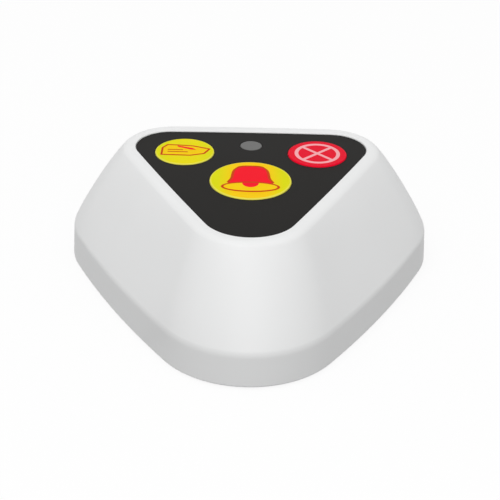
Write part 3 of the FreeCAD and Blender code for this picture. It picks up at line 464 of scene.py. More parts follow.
def outer_ring(sizes, base, rim, level):
    """The housing's outline at a height, with the crease softened more at the tip than behind."""
    crease = grown(base, -sizes.skirt_draft)

    def profile(height):
        """How far out between rim and crease, and how far beyond the crease, at a height."""
        if height < sizes.crease_height:
            drop = (sizes.crease_height - height) / (sizes.crease_height - SHELL_LOW.z)
            return 1.0, sizes.skirt_draft * min(drop, 1.0)
        rise = min((height - sizes.crease_height) / (SHELL_HIGH.z - sizes.crease_height), 1.0)
        return (1 - rise ** sizes.fullness) ** (1 / sizes.fullness), 0.0

    def softened(softness):
        reach = min(softness, SHELL_HIGH.z - level, level - SHELL_LOW.z)
        shares = [profile(level + reach * (2 * i / (SOFTNESS_SAMPLES - 1) - 1))
                  for i in range(SOFTNESS_SAMPLES)]
        return [sum(values) / SOFTNESS_SAMPLES for values in zip(*shares)]

    def mixed(softness):
        share, growth = softened(softness)
        blend = [inner + (outer - inner) * share for inner, outer in zip(rim, crease)]
        return grown(Outline(*blend), growth)

    tip = mixed(sizes.tip_softness)
    return mixed(sizes.back_softness)._replace(front=tip.front, tip=tip.tip)


def corner_places(outline, reach):
    """A place in each of a triangle's corners, at a distance out from the corner's centre."""
    corners = ((0, outline.front, -90), (outline.x, outline.back, 30),
               (-outline.x, outline.back, 150))
    return [(x + reach * cos(radians(turn)), y + reach * sin(radians(turn)))
            for x, y, turn in corners]


def key_places():
    """Middle of each key and of the lamp window seen from above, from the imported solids."""
    nodes = {name: f"{name}_switch_stem" for name in KEYS}
    nodes["lamp"] = "lamp_window"
    places = {}
    for name, node in nodes.items():
        low, high = node_box(node)
        places[name] = ((low.x + high.x) / 2, (low.y + high.y) / 2)
    return places


def key_radii(keys):
    return {"call": keys.call_radius, "bill": keys.small_radius, "cancel": keys.small_radius,
            "lamp": keys.window_radius}


def key_openings(keys, low, high):
    """Cutters for the holes of the keys and the lamp window."""
    return [round_bar(*key_places()[name], radius + keys.gap, low, high)
            for name, radius in key_radii(keys).items()]


def outer_form(sizes, base):
    """The closed outer form: recess, rim, sloping faces, softened crease and skirt."""
    rim, recess = rim_outline(sizes), grown(panel_outline(sizes), sizes.film_gap)
    top, foot = SHELL_HIGH.z, SHELL_LOW.z - sizes.skirt_drop
    soft_top = sizes.crease_height + sizes.tip_softness
    levels = [top - (top - soft_top) * share for share in SHARES_ABOVE_CREASE]
    levels += [soft_top - 2 * sizes.tip_softness * i / CREASE_STEPS
               for i in range(CREASE_STEPS + 1)]
    rings = [(recess, top - sizes.recess_depth), (recess, top), (rim, top)]
    rings += [(outer_ring(sizes, base, rim, level), level) for level in levels]
    rings.append((base, foot))
    form = lofted(rings)
    edit(form)
    for level, ranges, rounding, segments in (
            (top, (UPWARDS, SLOPING), sizes.rim_round, 6),
            (top, (UPWARDS, UPRIGHT), sizes.lip_round, 3),
            (foot, (DOWNWARDS, NEARLY_UPRIGHT), sizes.foot_round, 3)):
        pick("edges", lambda edge: level_edge(edge, level) and between(edge, *ranges))
        bpy.ops.mesh.bevel(offset=rounding, segments=segments)
    end_edit()
    return form


def inner_core(sizes, base, ceiling):
    """The hollow: straight behind the skirt, then leaning in to the ceiling."""
    mouth = grown(base, -sizes.skirt_draft - sizes.wall)
    shoulder = grown(mouth, -sizes.shoulder_step)
    return lofted([(mouth, SHELL_LOW.z - MM), (mouth, sizes.shoulder_height),
                   (shoulder, sizes.shoulder_height), (grown(shoulder, -sizes.inner_run), ceiling)])


def key_guides(sizes, keys, ceiling):
    """Two ribs beside the call key's front ear and beside each small key's back ear."""
    guides = []
    for name, toward in zip(KEYS, (-1, 1, 1)):
        x, y = key_places()[name]
        out = key_radii(keys)[name] + keys.gap + sizes.guide_gap + sizes.guide_reach / 2
        aside = keys.ear_width / 2 + sizes.guide_gap + sizes.guide / 2
        guides += [block((x + side * aside, y + toward * out,
                          ceiling - sizes.guide_drop / 2 + MM / 2),
                         (sizes.guide, sizes.guide_reach, sizes.guide_drop + MM))
                   for side in (-1, 1)]
    return guides


def stop_ribs(sizes, base):
    """Three ribs along each side, which stop the bottom plate."""
    ribs = []
    corners = [Vector(place) for place in corner_places(base, 0)]
    for i in range(3):
        start, end = corners[i], corners[i - 2]
        span = end - start
        along = span / span.length
        outward = Vector((along.y, -along.x))
        out = base.side - sqrt((base.side - base.corner) ** 2 - (span.length / 2) ** 2)
        for step in (-1, 0, 1):
            middle = ((start + end) / 2 + outward * (out - sizes.rib_depth / 2)
                      + along * step * sizes.rib_spread)
            ribs.append(block((*middle, sizes.rib_low + sizes.rib_height / 2),
                              (sizes.rib, sizes.rib_depth, sizes.rib_height),
                              atan2(along.y, along.x)))
    return ribs


class OBJECT_OT_call_housing(bpy.types.Operator):
    """Build the upper shell: outer form, hollow, bosses, ribs, film recess and key holes"""
    bl_idname = "object.call_housing"
    bl_label = "Build the upper shell"

    def execute(self, context):
        sizes, keys = context.scene.housing_sizes, context.scene.key_sizes
        base = base_outline(sizes)
        recess_floor = SHELL_HIGH.z - sizes.recess_depth
        ceiling = recess_floor - sizes.ceiling
        screws = corner_places(base, sizes.screw_reach)
        shell, core = outer_form(sizes, base), inner_core(sizes, base, ceiling)
        bosses = [round_bar(x, y, sizes.boss_radius, sizes.boss_seat, ceiling + MM, sides=64)
                  for x, y in screws]
        combine(core, bosses + key_guides(sizes, keys, ceiling) + stop_ribs(sizes, base),
                "DIFFERENCE")
        pilots = [round_bar(x, y, sizes.pilot_radius, sizes.boss_seat - MM,
                            sizes.boss_seat + sizes.pilot_depth, sides=48) for x, y in screws]
        openings = key_openings(keys, ceiling - MM, recess_floor + MM)
        combine(shell, [core] + openings + pilots, "DIFFERENCE")
        white = grained("shell_white", context.scene.finishes.shell, 0.42, 2600.0, 0.004, 0.008)
        finish_piece(shell, "upper_shell", "housing", white, ["top_shell"])
        return {"FINISHED"}


# ---- keys ----
PRINT_LAYERS = 5
# the bell: height above the key's middle and half width, from the crown down, in millimetres
BELL_PROFILE = ((7.0, 0.9), (6.87, 1.75), (6.5, 2.55), (5.9, 3.2), (5.05, 3.7), (3.9, 4.0),
                (2.5, 4.15), (1.2, 4.25), (0.3, 4.45), (-0.5, 4.8), (-1.25, 5.1), (-2.4, 4.2))
BELL_CROWN = 6.0
# its mouth's height, and half axes of mouth and clapper
BELL_MOUTH_HEIGHT, BELL_MOUTH, BELL_CLAPPER = -3.5, (6.65, 2.55), (1.9, 2.2)
# the bill, two ruled lines and the pen: points from the key's middle in millimetres
BILL = ((-5.4, -2.1), (1.4, -2.3), (4.6, -1.2), (5.8, 1.3), (2.0, 2.8), (-1.6, 3.2),
        (-4.2, 3.3), (-5.3, 1.6))
RULES = (((-3.9, 0.7), (-0.6, 0.6)), ((-3.9, -0.4), (0.6, -0.5)))
PEN = ((-1.9, 2.9), (-1.7, 2.2), (1.4, 0.8), (2.7, 0.7), (1.8, 1.6))
# the cancel key's ring and its bars, as shares of the key's radius
RING_SHARE, BAR_SHARE = 0.77, 0.115


def build_key(name, sizes, finish, colours):
    """A solid cap with a rounded edge, four ears and a post; returns its middle and top."""
    place, radius = key_places()[name], key_radii(sizes)[name]
    low, high = node_box(f"{name}_key")
    top = high.z - sizes.settling - PRINT_LAYERS * sizes.ink
    ear_low = low.z + sizes.post_length
    cap = round_bar(*place, radius, ear_low, top)
    edit(cap)
    pick("edges", lambda edge: between(edge, CAP_TOP, UPRIGHT))
    bpy.ops.mesh.bevel(offset=sizes.edge_round, segments=4)
    end_edit()
    across = 2 * (radius + sizes.ear_reach)
    ear_middle = (*place, ear_low + sizes.ear_thickness / 2)
    post_height = sizes.post_length + sizes.ear_thickness / 2
    combine(cap, [
        block(ear_middle, (across, sizes.ear_width, sizes.ear_thickness)),
        block(ear_middle, (sizes.ear_width, across, sizes.ear_thickness)),
        block((*place, low.z + post_height / 2), (sizes.post_width, sizes.post_width, post_height)),
    ], "UNION")
    finish_piece(cap, f"{name}_cap", f"{name}_button",
                 key_plastic(finish, place, radius, *colours), [f"{name}_key"])
    return *place, top


def ink_layer(shape, level, thickness):
    """Give a flat filled shape the thickness of its ink."""
    edit(shape, "FACE")
    bpy.ops.mesh.extrude_region_move(TRANSFORM_OT_translate={"value": (0, 0, thickness)})
    face_outwards()
    bpy.ops.transform.translate(value=(0, 0, level))
    end_edit()
    return shape


def drawn(x, y, points):
    """Points given in millimetres from a key's middle."""
    return [(x + a * MM, y + b * MM) for a, b in points]


def ellipse(x, y, across, along):
    return added(bpy.ops.mesh.primitive_circle_add, (across, along, 1), vertices=96, radius=1,
                 fill_type="NGON", location=(x, y, 0))


def ring_shape(x, y, outer, inner):
    """A flat ring."""
    shape = ellipse(x, y, outer, outer)
    edit(shape, "FACE")
    bpy.ops.mesh.inset(thickness=outer - inner)
    bpy.ops.mesh.delete(type="FACE")
    end_edit()
    return shape


def stroke(start, end, width):
    """A flat bar with rounded ends between two points."""
    start, end = Vector(start), Vector(end)
    span = end - start
    shape = added(bpy.ops.mesh.primitive_plane_add, (span.length + width, width, 1),
                  atan2(span.y, span.x), size=1, location=(*(start + end) / 2, 0))
    edit(shape, "VERT")
    bpy.ops.mesh.bevel(offset=width * 0.49, segments=4, affect="VERTICES")
    end_edit()
    return shape


def filled(points):
    """A flat shape with these corners."""
    shape = added(bpy.ops.mesh.primitive_circle_add, vertices=len(points), radius=MM,
                  fill_type="NGON")
    edit(shape, "VERT")
    places = [vert.co.copy() for vert in shape.data.vertices]
    for i, (x, y) in enumerate(points):
        pick("verts", lambda vert: vert.index == i)
        bpy.ops.transform.translate(value=(x - places[i].x, y - places[i].y, 0))
    end_edit()
    return shape


def bell_body(x, y, spare):
    """The bell's outline, drawn a little larger by spare: a round crown and a flared lip."""
    right = [(x + half * MM + spare, y + rise * MM + (spare if rise > BELL_CROWN else 0))
             for rise, half in BELL_PROFILE]
    left = [(2 * x - a, b) for a, b in reversed(right)]
    return filled(right[::-1] + left[::-1])


def lower_half(shape, level):
    """Keep what lies below a line."""
    edit(shape, "FACE")
    bpy.ops.mesh.bisect(plane_co=(0, level, 0), plane_no=(0, 1, 0), clear_outer=True)
    end_edit()
    return shape


def print_picture(key, name, top, thickness, layers):
    """Turn layers of flat shapes, each with a material, into printed pieces on a key."""
    for i, (shapes, material) in enumerate(layers):
        piece, *others = [ink_layer(shape, top + i * thickness, thickness) for shape in shapes]
        combine(piece, others, "UNION")
        finish_piece(piece, f"{name}_{i + 1}", f"{key}_button", material)


class OBJECT_OT_call_key(bpy.types.Operator):
    """Build the large call key with its printed bell"""
    bl_idname = "object.call_key"
    bl_label = "Build the call key"

    def execute(self, context):
        sizes, finishes = context.scene.key_sizes, context.scene.finishes
        # the third colour is a painted highlight round the key's rim
        x, y, top = build_key("call", sizes, "call_yellow",
                              (finishes.yellow, finishes.lime, finishes.pale))
        red, line = ink("bell_red", finishes.bell), ink("bell_line", finishes.line)
        mouth = y + BELL_MOUTH_HEIGHT * MM
        across, along = (half * MM for half in BELL_MOUTH)
        hang = mouth + along - sizes.line
        clapper = ellipse(x, hang, *(half * MM for half in BELL_CLAPPER))
        print_picture("call", "bell_print", top, sizes.ink, [
            ([bell_body(x, y, 0.5 * sizes.line)], line),
            ([bell_body(x, y, -0.5 * sizes.line)], red),
            ([ellipse(x, mouth, across, along)], line),
            ([ellipse(x, mouth, across - sizes.line, along - sizes.line)],
             ink("bell_glow", finishes.glow)),
            ([lower_half(clapper, hang)], red),
        ])
        return {"FINISHED"}


class OBJECT_OT_bill_key(bpy.types.Operator):
    """Build the small yellow key with its drawn bill and pen"""
    bl_idname = "object.bill_key"
    bl_label = "Build the bill key"

    def execute(self, context):
        sizes, finishes = context.scene.key_sizes, context.scene.finishes
        # the third colour is a painted highlight round the key's rim
        x, y, top = build_key("bill", sizes, "bill_yellow",
                              (finishes.lemon, finishes.lime, finishes.pale))
        bill = drawn(x, y, BILL)
        outline = [stroke(bill[i - 1], bill[i], 0.8 * sizes.line) for i in range(len(bill))]
        rules = [stroke(*drawn(x, y, rule), 0.6 * sizes.line) for rule in RULES]
        pen, line = filled(drawn(x, y, PEN)), ink("bill_line", finishes.line)
        print_picture("bill", "bill_print", top, sizes.ink, [
            ([filled(bill)], ink("bill_paper", finishes.glow)), (outline, line), (rules, line),
            ([pen], ink("pen_red", finishes.bell))])
        return {"FINISHED"}


class OBJECT_OT_cancel_key(bpy.types.Operator):
    """Build the small red key with its ring and cross"""
    bl_idname = "object.cancel_key"
    bl_label = "Build the cancel key"

    def execute(self, context):
        sizes, finishes = context.scene.key_sizes, context.scene.finishes
        x, y, top = build_key("cancel", sizes, "cancel_red", (finishes.red,) * 3)
        outer, bar = RING_SHARE * sizes.small_radius, BAR_SHARE * sizes.small_radius
        reach = (outer - bar) * sqrt(0.5)
        cross = [stroke((x - reach, y - side * reach), (x + reach, y + side * reach), bar)
                 for side in (-1, 1)]
        pink = ink("cross_pink", finishes.pink)
        print_picture("cancel", "cross_print", top, sizes.ink, [
            ([ring_shape(x, y, outer, outer - 1.1 * bar)], pink), (cross, pink)])
        return {"FINISHED"}


# ---- materials ----
def wire(tree, node, inputs):
    """Fill a node's inputs: an output is linked, anything else becomes the input's value."""
    for name, value in inputs.items():
        if isinstance(value, bpy.types.NodeSocket):
            tree.links.new(value, node.inputs[name])
        else:
            node.inputs[name].default_value = value


def add_node(tree, kind, inputs, **settings):
    node = tree.nodes.new(kind)
    for name, value in settings.items():
        setattr(node, name, value)
    wire(tree, node, inputs)
    return node


def colour_ramp(tree, value, steps, interpolation="LINEAR"):
    """Colours over a value from 0 to 1: each step is a place on it and a colour."""
    ramp = add_node(tree, "ShaderNodeValToRGB", {"Fac": value})
    ramp.color_ramp.interpolation = interpolation
    elements = ramp.color_ramp.elements
    while len(elements) < len(steps):
        elements.new(0.5)
    for element, (place, tone) in zip(elements, steps):
        element.position = place
        element.color = (*tone, 1)
    return ramp.outputs["Color"]


def new_material(name):
    """A material, its node tree and its Principled BSDF."""
    material = bpy.data.materials.new(name)
    material.use_nodes = True
    return material, material.node_tree, material.node_tree.nodes["Principled BSDF"]


def object_place(tree):
    return tree.nodes.new("ShaderNodeTexCoord").outputs["Object"]


def grain_group():
    """Shared fine grain: a height for the bump and a slow tone that varies over the surface."""
    name = "moulded_grain"
    if name in bpy.data.node_groups:
        return bpy.data.node_groups[name]
    group = bpy.data.node_groups.new(name, "ShaderNodeTree")
    for socket, default in (("Grain Scale", 1500.0), ("Tone Scale", 40.0)):
        item = group.interface.new_socket(socket, in_out="INPUT", socket_type="NodeSocketFloat")
        item.default_value = default
    for socket in ("Height", "Tone"):
        group.interface.new_socket(socket, in_out="OUTPUT", socket_type="NodeSocketFloat")
    entry, leave = group.nodes.new("NodeGroupInput"), group.nodes.new("NodeGroupOutput")
    place = object_place(group)
    for socket, output, detail in (("Grain Scale", "Height", 3.0), ("Tone Scale", "Tone", 2.0)):
        noise = add_node(group, "ShaderNodeTexNoise", {
            "Vector": place, "Scale": entry.outputs[socket], "Detail": detail})
        wire(group, leave, {output: noise.outputs["Fac"]})
    return group


def add_grain(tree, shader, scale, depth, smooth, rough):
    """Wire the shared grain, millimetres deep, and a drifting roughness; return the slow tone."""
    grain = add_node(tree, "ShaderNodeGroup", {"Grain Scale": scale, "Tone Scale": 40.0},
                     node_tree=grain_group())
    tone = grain.outputs["Tone"]
    bump = add_node(tree, "ShaderNodeBump", {
        "Distance": depth * MM, "Strength": 0.6, "Height": grain.outputs["Height"]})
    drift = add_node(tree, "ShaderNodeMapRange", {
        "Value": tone, "To Min": smooth, "To Max": rough})
    wire(tree, shader, {"Normal": bump.outputs["Normal"], "Roughness": drift.outputs["Result"]})
    return tone


def grained(name, base, roughness, scale, depth, drift, metallic=0.0, specular=0.5):
    """A moulded, cast or drawn surface with fine grain, slow tone drift and uneven gloss."""
    material, tree, shader = new_material(name)
    tone = add_grain(tree, shader, scale, depth, roughness * 0.85, min(roughness * 1.15, 1.0))
    dark, light = ([min(channel * factor, 1.0) for channel in base]
                   for factor in (1 - drift, 1 + drift))
    wire(tree, shader, {"Metallic": metallic, "Specular IOR Level": specular,
                        "Base Color": colour_ramp(tree, tone, ((0.35, dark), (0.65, light)))})
    return material


def ink(name, base):
    """Screen-printed ink."""
    return grained(name, base, 0.45, 3000.0, 0.002, 0.02, specular=0.03)


def key_plastic(name, place, radius, middle, side, edge):
    """A printed key top: middle colour, another towards left and right, and a thin edge ring of
    painted highlight.
    """
    material, tree, shader = new_material(name)
    add_grain(tree, shader, 2200.0, 0.003, 0.32, 0.42)
    centred = add_node(tree, "ShaderNodeMapping", {
        "Vector": object_place(tree), "Scale": (1 / radius, 1 / radius, 0),
        "Location": (-place[0] / radius, -place[1] / radius, 0)}).outputs["Vector"]
    parts = add_node(tree, "ShaderNodeSeparateXYZ", {"Vector": centred})
    sideways = add_node(tree, "ShaderNodeMath", {0: parts.outputs["X"]}, operation="ABSOLUTE")
    reach = add_node(tree, "ShaderNodeVectorMath", {0: centred}, operation="LENGTH")
    # painted highlight: the edge colour fills the outermost rim of the key's top, where light
    # catches the raised edge
    ring = add_node(tree, "ShaderNodeMapRange", {
        "Value": reach.outputs["Value"], "From Min": 0.95, "From Max": 0.98})
    mix = add_node(tree, "ShaderNodeMix", {
        "Factor": ring.outputs["Result"], 7: (*edge, 1),
        6: colour_ramp(tree, sideways.outputs[0], ((0.38, middle), (0.80, side)))},
                   data_type="RGBA")
    wire(tree, shader, {"Base Color": mix.outputs[2], "Specular IOR Level": 0.03})
    return material


def sleeved_cell():
    """The cell's dark sleeve with two warm bands, and bare metal at both ends."""
    material, tree, shader = new_material("sleeved_cell")
    add_grain(tree, shader, 700.0, 0.006, 0.24, 0.36)
    low, high = node_box("battery")
    parts = add_node(tree, "ShaderNodeSeparateXYZ", {"Vector": object_place(tree)})
    along = add_node(tree, "ShaderNodeMapRange", {
        "Value": parts.outputs["X"], "From Min": low.x, "From Max": high.x}).outputs["Result"]
    bare, sleeve, band = (0.62, 0.61, 0.58), (0.03, 0.04, 0.08), (0.62, 0.30, 0.03)
    colours = ((0.0, bare), (0.02, sleeve), (0.70, band), (0.76, sleeve), (0.80, band),
               (0.93, bare))
    metal = ((0.0, (1, 1, 1)), (0.02, (0, 0, 0)), (0.93, (1, 1, 1)))
    wire(tree, shader, {"Base Color": colour_ramp(tree, along, colours, "CONSTANT"),
                        "Metallic": colour_ramp(tree, along, metal, "CONSTANT")})
    return material


def tracked_board():
    """Green solder mask, a little lighter where the tracks run under it."""
    material, tree, shader = new_material("tracked_board")
    add_grain(tree, shader, 900.0, 0.01, 0.30, 0.42)
    tracks = add_node(tree, "ShaderNodeTexBrick", {
        "Vector": object_place(tree), "Scale": 110.0, "Mortar Size": 0.018,
        "Mortar Smooth": 0.3, "Brick Width": 1.7, "Row Height": 0.13,
        "Color1": (0.010, 0.085, 0.030, 1), "Color2": (0.013, 0.100, 0.036, 1),
        "Mortar": (0.022, 0.150, 0.052, 1)},
                      offset=0.37, offset_frequency=3, squash=0.45, squash_frequency=4)
    wire(tree, shader, {"Base Color": tracks.outputs["Color"]})
    return material


# ---- covers, fasteners and fittings ----
# half sections of the screws' heads, as shares of their radius, and of the feet, as shares of
# their radius and height
HEAD_PROFILE = ((0, 0), (0.45, 0.03), (0.75, 0.12), (0.93, 0.28), (1, 0.5))
FOOT_PROFILE = ((0, 0.25), (0.5, 0.2), (0.72, 0.04), (0.8, 0), (0.9, 0.02), (0.97, 0.16),
                (1, 0.4), (1, 1), (0, 1))
# the cross recess, as shares of the head's height and radius
RECESS_DEPTH, RECESS_LENGTH, RECESS_WIDTH = 0.62, 1.15, 0.24
# the thread's root and the screw's point, as shares of the thread's radius
ROOT_SHARE, POINT_LENGTH, POINT_WIDTH, POINT_DROP = 0.74, 1.6, 0.25, 0.1
# each thread's start, and both edges of its crest, as shares of the pitch
THREAD_START, CREST_LOW, CREST_HIGH = 0.4, 0.45, 0.55
DOME_STEPS = 8
# material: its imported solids, then colour, roughness, grain scale, grain depth in millimetres,
# drift and metal
NODE_FINISHES = {
    "switch_black": (("switch_bases", "call_switch_stem", "bill_switch_stem", "cancel_switch_stem"),
                     ((0.02, 0.02, 0.021), 0.5, 1200.0, 0.01, 0.1, 0.0)),
    "stamped_steel": (("switch_covers", "battery_spring", "minus_contact", "plus_contact"),
                      ((0.62, 0.61, 0.58), 0.28, 1800.0, 0.006, 0.06, 1.0)),
    "tinned": (("switch_legs", "lamp_pins", "chip_leads"),
               ((0.70, 0.70, 0.69), 0.35, 1500.0, 0.006, 0.06, 1.0)),
    "lamp_red": (("lamp",), ((0.55, 0.03, 0.02), 0.12, 900.0, 0.002, 0.05, 0.0)),
    "chip_black": (("control_chip", "chip_resistors"),
                   ((0.018, 0.018, 0.019), 0.6, 1600.0, 0.015, 0.1, 0.0)),
    "aerial_brass": (("aerial",), ((0.60, 0.42, 0.15), 0.3, 1200.0, 0.006, 0.08, 1.0)),
    "nickel_can": (("resonator_can",), ((0.64, 0.62, 0.57), 0.22, 1500.0, 0.004, 0.05, 1.0)),
    "capacitor_can": (("capacitor",), ((0.70, 0.70, 0.71), 0.3, 1500.0, 0.006, 0.05, 1.0)),
}


def softened_copy(node, name, body, material, width):
    """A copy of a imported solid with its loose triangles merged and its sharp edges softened."""
    piece = bpy.data.objects.new(name, NODES[node].data.copy())
    bpy.context.scene.collection.objects.link(piece)
    edit(piece, "VERT")
    weld()
    bpy.ops.mesh.dissolve_limited(angle_limit=radians(0.5))
    end_edit()
    soften_edges(piece, width)
    finish_piece(piece, name, body, material, [node])


def spun(profile, sides=40):
    """A turned solid from (radius, height) points that start and end on its axis."""
    piece = added(bpy.ops.mesh.primitive_plane_add, size=MM)
    edit(piece, "VERT")
    bpy.ops.mesh.merge(type="CENTER")
    bpy.ops.transform.translate(value=(profile[0][0], 0, profile[0][1]))
    for (radius, height), (next_radius, next_height) in zip(profile, profile[1:]):
        bpy.ops.mesh.extrude_vertices_move(TRANSFORM_OT_translate={
            "value": (next_radius - radius, 0, next_height - height)})
    select_all()
    bpy.ops.mesh.spin(steps=sides, angle=2 * pi, center=(0, 0, 0), axis=DOWN)
    select_all()
    weld()
    face_outwards()
    end_edit()
    return piece


def copied_to(piece, places):
    """Copies of a piece with their own meshes at each place, joined; the piece itself goes."""
    copies = []
    for x, y in places:
        set_active(piece)
        bpy.ops.object.duplicate()
        copy = bpy.context.object
        copy.location = (x, y, 0)
        apply_place()
        copies.append(copy)
    bpy.data.objects.remove(piece)
    return join_pieces(copies)


class OBJECT_OT_call_covers(bpy.types.Operator):
    """Build the film, and soften the edges of the lamp window, bottom plate and battery door"""
    bl_idname = "object.call_covers"
    bl_label = "Finish film, window, plate and door"

    def execute(self, context):
        edge, panel = context.scene.fastener_sizes.edge, panel_outline(context.scene.housing_sizes)
        film = lofted([(panel, FILM_LOW.z), (panel, FILM_HIGH.z)])
        combine(film, key_openings(context.scene.key_sizes, FILM_LOW.z - MM, FILM_HIGH.z + MM),
                "DIFFERENCE")
        soften_edges(film, edge)
        charcoal = grained("film_charcoal", context.scene.finishes.film, 0.5, 3500.0, 0.004, 0.06,
                           specular=0.05)
        finish_piece(film, "film_sheet", "housing", charcoal, ["printed_film"])
        smoked = grained("smoked_window", (0.092, 0.091, 0.089), 0.3, 1800.0, 0.006, 0.12)
        plate = grained("plate_white", (0.80, 0.80, 0.79), 0.55, 900.0, 0.02, 0.015)
        door = grained("door_white", (0.79, 0.79, 0.78), 0.55, 900.0, 0.02, 0.015)
        softened_copy("lamp_window", "window_guide", "housing", smoked, edge)
        softened_copy("base_plate", "bottom_plate", "housing", plate, edge)
        softened_copy("battery_door", "sliding_door", "door", door, edge)
        return {"FINISHED"}


class OBJECT_OT_call_screws(bpy.types.Operator):
    """Build the three pan-head screws with their threads and cross recesses"""
    bl_idname = "object.call_screws"
    bl_label = "Build the screws"

    def execute(self, context):
        sizes, housing = context.scene.fastener_sizes, context.scene.housing_sizes
        low = node_box("housing_screws")[0].z
        seat = low + sizes.head_height
        end = seat + sizes.screw_length
        head, thread, pitch = sizes.head_radius, sizes.thread_radius, sizes.thread_pitch
        root = ROOT_SHARE * thread
        profile = [(out * head, low + up * head) for out, up in HEAD_PROFILE]
        profile += [(head, seat), (root, seat)]
        level = seat + THREAD_START * pitch
        while level + pitch < end - POINT_LENGTH * thread:
            profile += [(root, level), (thread, level + CREST_LOW * pitch),
                        (thread, level + CREST_HIGH * pitch)]
            level += pitch
        profile += [(root, level), (POINT_WIDTH * thread, end - POINT_DROP * thread), (0, end)]
        screw = spun(profile)
        depth = RECESS_DEPTH * sizes.head_height
        long, short = RECESS_LENGTH * head, RECESS_WIDTH * head
        middle = (0, 0, low + depth / 2 - MM / 2)
        combine(screw, [block(middle, (long, short, depth + MM)),
                        block(middle, (short, long, depth + MM))], "DIFFERENCE")
        screws = copied_to(screw, corner_places(base_outline(housing), housing.screw_reach))
        zinc = grained("zinc_screw", (0.55, 0.55, 0.54), 0.3, 1600.0, 0.01, 0.08, 1.0)
        finish_piece(screws, "threaded_screws", "housing", zinc, ["housing_screws"],
                     angle=25)
        return {"FINISHED"}


class OBJECT_OT_call_feet(bpy.types.Operator):
    """Build the three dished rubber feet"""
    bl_idname = "object.call_feet"
    bl_label = "Build the feet"

    def execute(self, context):
        sizes = context.scene.fastener_sizes
        low, high = node_box("rubber_feet")
        foot = spun([(out * sizes.foot_radius, low.z + up * (high.z - low.z))
                     for out, up in FOOT_PROFILE], sides=64)
        base = base_outline(context.scene.housing_sizes)
        feet = copied_to(foot, corner_places(base, sizes.foot_reach))
        rubber = grained("foot_rubber", (0.022, 0.022, 0.022), 0.8, 700.0, 0.03, 0.15)
        finish_piece(feet, "soft_feet", "housing", rubber, ["rubber_feet"])
        return {"FINISHED"}


class OBJECT_OT_call_domes(bpy.types.Operator):
    """Build the three round snap domes under the keys"""
    bl_idname = "object.call_domes"
    bl_label = "Build the snap domes"

    def execute(self, context):
        steel = grained("dome_steel", (0.62, 0.61, 0.58), 0.28, 1800.0, 0.006, 0.06, 1.0)
        shares = [i / DOME_STEPS for i in range(DOME_STEPS + 1)]
        for name in KEYS:
            x, y = key_places()[name]
            low, high = node_box(f"{name}_switch_dome")
            radius, rise = (high.x - low.x) / 2, high.z - low.z
            hollow = rise - context.scene.key_sizes.dome_skin
            outside = [(radius * t, low.z + rise * (1 - t * t)) for t in shares]
            inside = [(0.95 * radius * t, low.z + hollow * (1 - t * t)) for t in shares]
            dome = copied_to(spun(outside + inside[::-1], sides=48), [(x, y)])
            finish_piece(dome, f"{name}_snap_dome", "housing", steel,
                         [f"{name}_switch_dome"])
            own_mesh(dome)
        return {"FINISHED"}


class OBJECT_OT_call_fittings(bpy.types.Operator):
    """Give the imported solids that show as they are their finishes"""
    bl_idname = "object.call_fittings"
    bl_label = "Finish the fittings"

    def execute(self, context):
        for name, (nodes, finish) in NODE_FINISHES.items():
            material = grained(name, *finish)
            for node in nodes:
                dress(NODES[node], material)
        dress(NODES["battery"], sleeved_cell())
        dress(NODES["circuit_board"], tracked_board())
        return {"FINISHED"}


# ---- stage ----
LIGHT_AIM = (0, 0, 0.01)


def seen_directly(tree):
    """An output that is 1 for the camera and for what shows in gloss and glass."""
    path = tree.nodes.new("ShaderNodeLightPath")
    seen = path.outputs["Is Camera Ray"]
    for ray in ("Is Glossy Ray", "Is Transmission Ray"):
        seen = add_node(tree, "ShaderNodeMath", {0: seen, 1: path.outputs[ray]},
                        operation="MAXIMUM").outputs[0]
    return seen


def add_floor(settings):
    """A pale floor that takes shadows and shows almost white."""
    floor = added(bpy.ops.mesh.primitive_plane_add, size=settings.floor_width,
                  location=(0, 0, 0))
    floor.name = "floor"
    material, tree, shader = new_material("floor_white")
    lift = add_node(tree, "ShaderNodeMath", {0: seen_directly(tree), 1: settings.floor_lift},
                    operation="MULTIPLY")
    wire(tree, shader, {
        "Base Color": (0.12, 0.12, 0.12, 1), "Roughness": 0.9, "Specular IOR Level": 0.0,
        "Emission Color": WHITE, "Emission Strength": lift.outputs[0]})
    floor.data.materials.append(material)


def add_world(context, strength):
    """Even light from all round, which shows plain white where it is seen directly."""
    world = bpy.data.worlds.new("soft_white_room")
    context.scene.world = world
    world.use_nodes = True
    tree = world.node_tree
    room = tree.nodes["Background"]
    wire(tree, room, {"Color": WHITE, "Strength": strength})
    white = add_node(tree, "ShaderNodeBackground", {"Color": WHITE})
    mix = add_node(tree, "ShaderNodeMixShader", {
        "Fac": seen_directly(tree), 1: room.outputs[0], 2: white.outputs[0]})
    wire(tree, tree.nodes["World Output"], {"Surface": mix.outputs[0]})


def add_lamp(name, place, width, power):
    """A large square area light."""
    deselect_all()
    bpy.ops.object.light_add(type="AREA", location=place)
    lamp = bpy.context.object
    lamp.name = name
    lamp.data.size = width
    lamp.data.energy = power
    lamp.rotation_euler = (Vector(LIGHT_AIM) - Vector(place)).to_track_quat("-Z", "Y").to_euler()


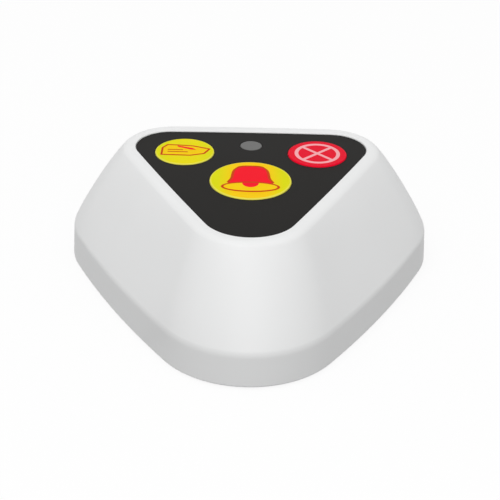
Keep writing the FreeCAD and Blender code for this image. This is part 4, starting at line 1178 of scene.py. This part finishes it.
class OBJECT_OT_call_stage(bpy.types.Operator):
    """Set the pale floor, the soft lights and the camera"""
    bl_idname = "object.call_stage"
    bl_label = "Set the stage"

    def execute(self, context):
        settings = context.scene.stage_settings
        add_floor(settings)
        add_world(context, settings.room_light)
        add_lamp("top_light", settings.top_place, settings.light_width, settings.top_power)
        add_lamp("front_light", settings.front_place, settings.light_width, settings.front_power)

        deselect_all()
        bpy.ops.object.camera_add(location=settings.camera)
        camera = context.object
        line = Vector(settings.aim) - Vector(settings.camera)
        turn = line.to_track_quat("-Z", "Y").to_matrix().to_4x4()
        turn = turn @ Matrix.Rotation(settings.roll, 4, "Z")
        camera.matrix_world = Matrix.Translation(settings.camera) @ turn
        camera.data.lens = settings.lens
        camera.data.sensor_width = 36.0
        camera.data.clip_start = 0.01
        context.scene.camera = camera
        context.scene.view_settings.view_transform = "Standard"
        return {"FINISHED"}


# ---- panel and run ----
BUILD_STEPS = (OBJECT_OT_call_housing, OBJECT_OT_call_key, OBJECT_OT_bill_key,
               OBJECT_OT_cancel_key, OBJECT_OT_call_covers, OBJECT_OT_call_screws,
               OBJECT_OT_call_feet, OBJECT_OT_call_domes, OBJECT_OT_call_fittings,
               OBJECT_OT_call_stage)
SETTINGS = {"housing_sizes": HousingSizes, "key_sizes": KeySizes, "fastener_sizes": FastenerSizes,
            "finishes": Finishes, "stage_settings": StageSettings}


class VIEW3D_PT_call_button(bpy.types.Panel):
    """Sizes, colours and build steps of the call button"""
    bl_idname = "VIEW3D_PT_call_button"
    bl_label = "Call button"
    bl_space_type = "VIEW_3D"
    bl_region_type = "UI"
    bl_category = "Call button"

    def draw(self, context):
        for name, group in SETTINGS.items():
            box = self.layout.box()
            box.label(text=name.replace("_", " "))
            for prop in group.__annotations__:
                box.prop(getattr(context.scene, name), prop)
        for step in BUILD_STEPS:
            self.layout.operator(step.bl_idname)


def register():
    for group in (*SETTINGS.values(), *BUILD_STEPS, VIEW3D_PT_call_button):
        bpy.utils.register_class(group)
    for name, group in SETTINGS.items():
        setattr(bpy.types.Scene, name, bpy.props.PointerProperty(type=group))


def unregister():
    for name in SETTINGS:
        delattr(bpy.types.Scene, name)
    for group in (VIEW3D_PT_call_button, *reversed(BUILD_STEPS), *SETTINGS.values()):
        bpy.utils.unregister_class(group)


def main():
    register()
    for step in BUILD_STEPS:
        group, operator = step.bl_idname.split(".")
        getattr(getattr(bpy.ops, group), operator)()


if __name__ == "__main__":
    main()
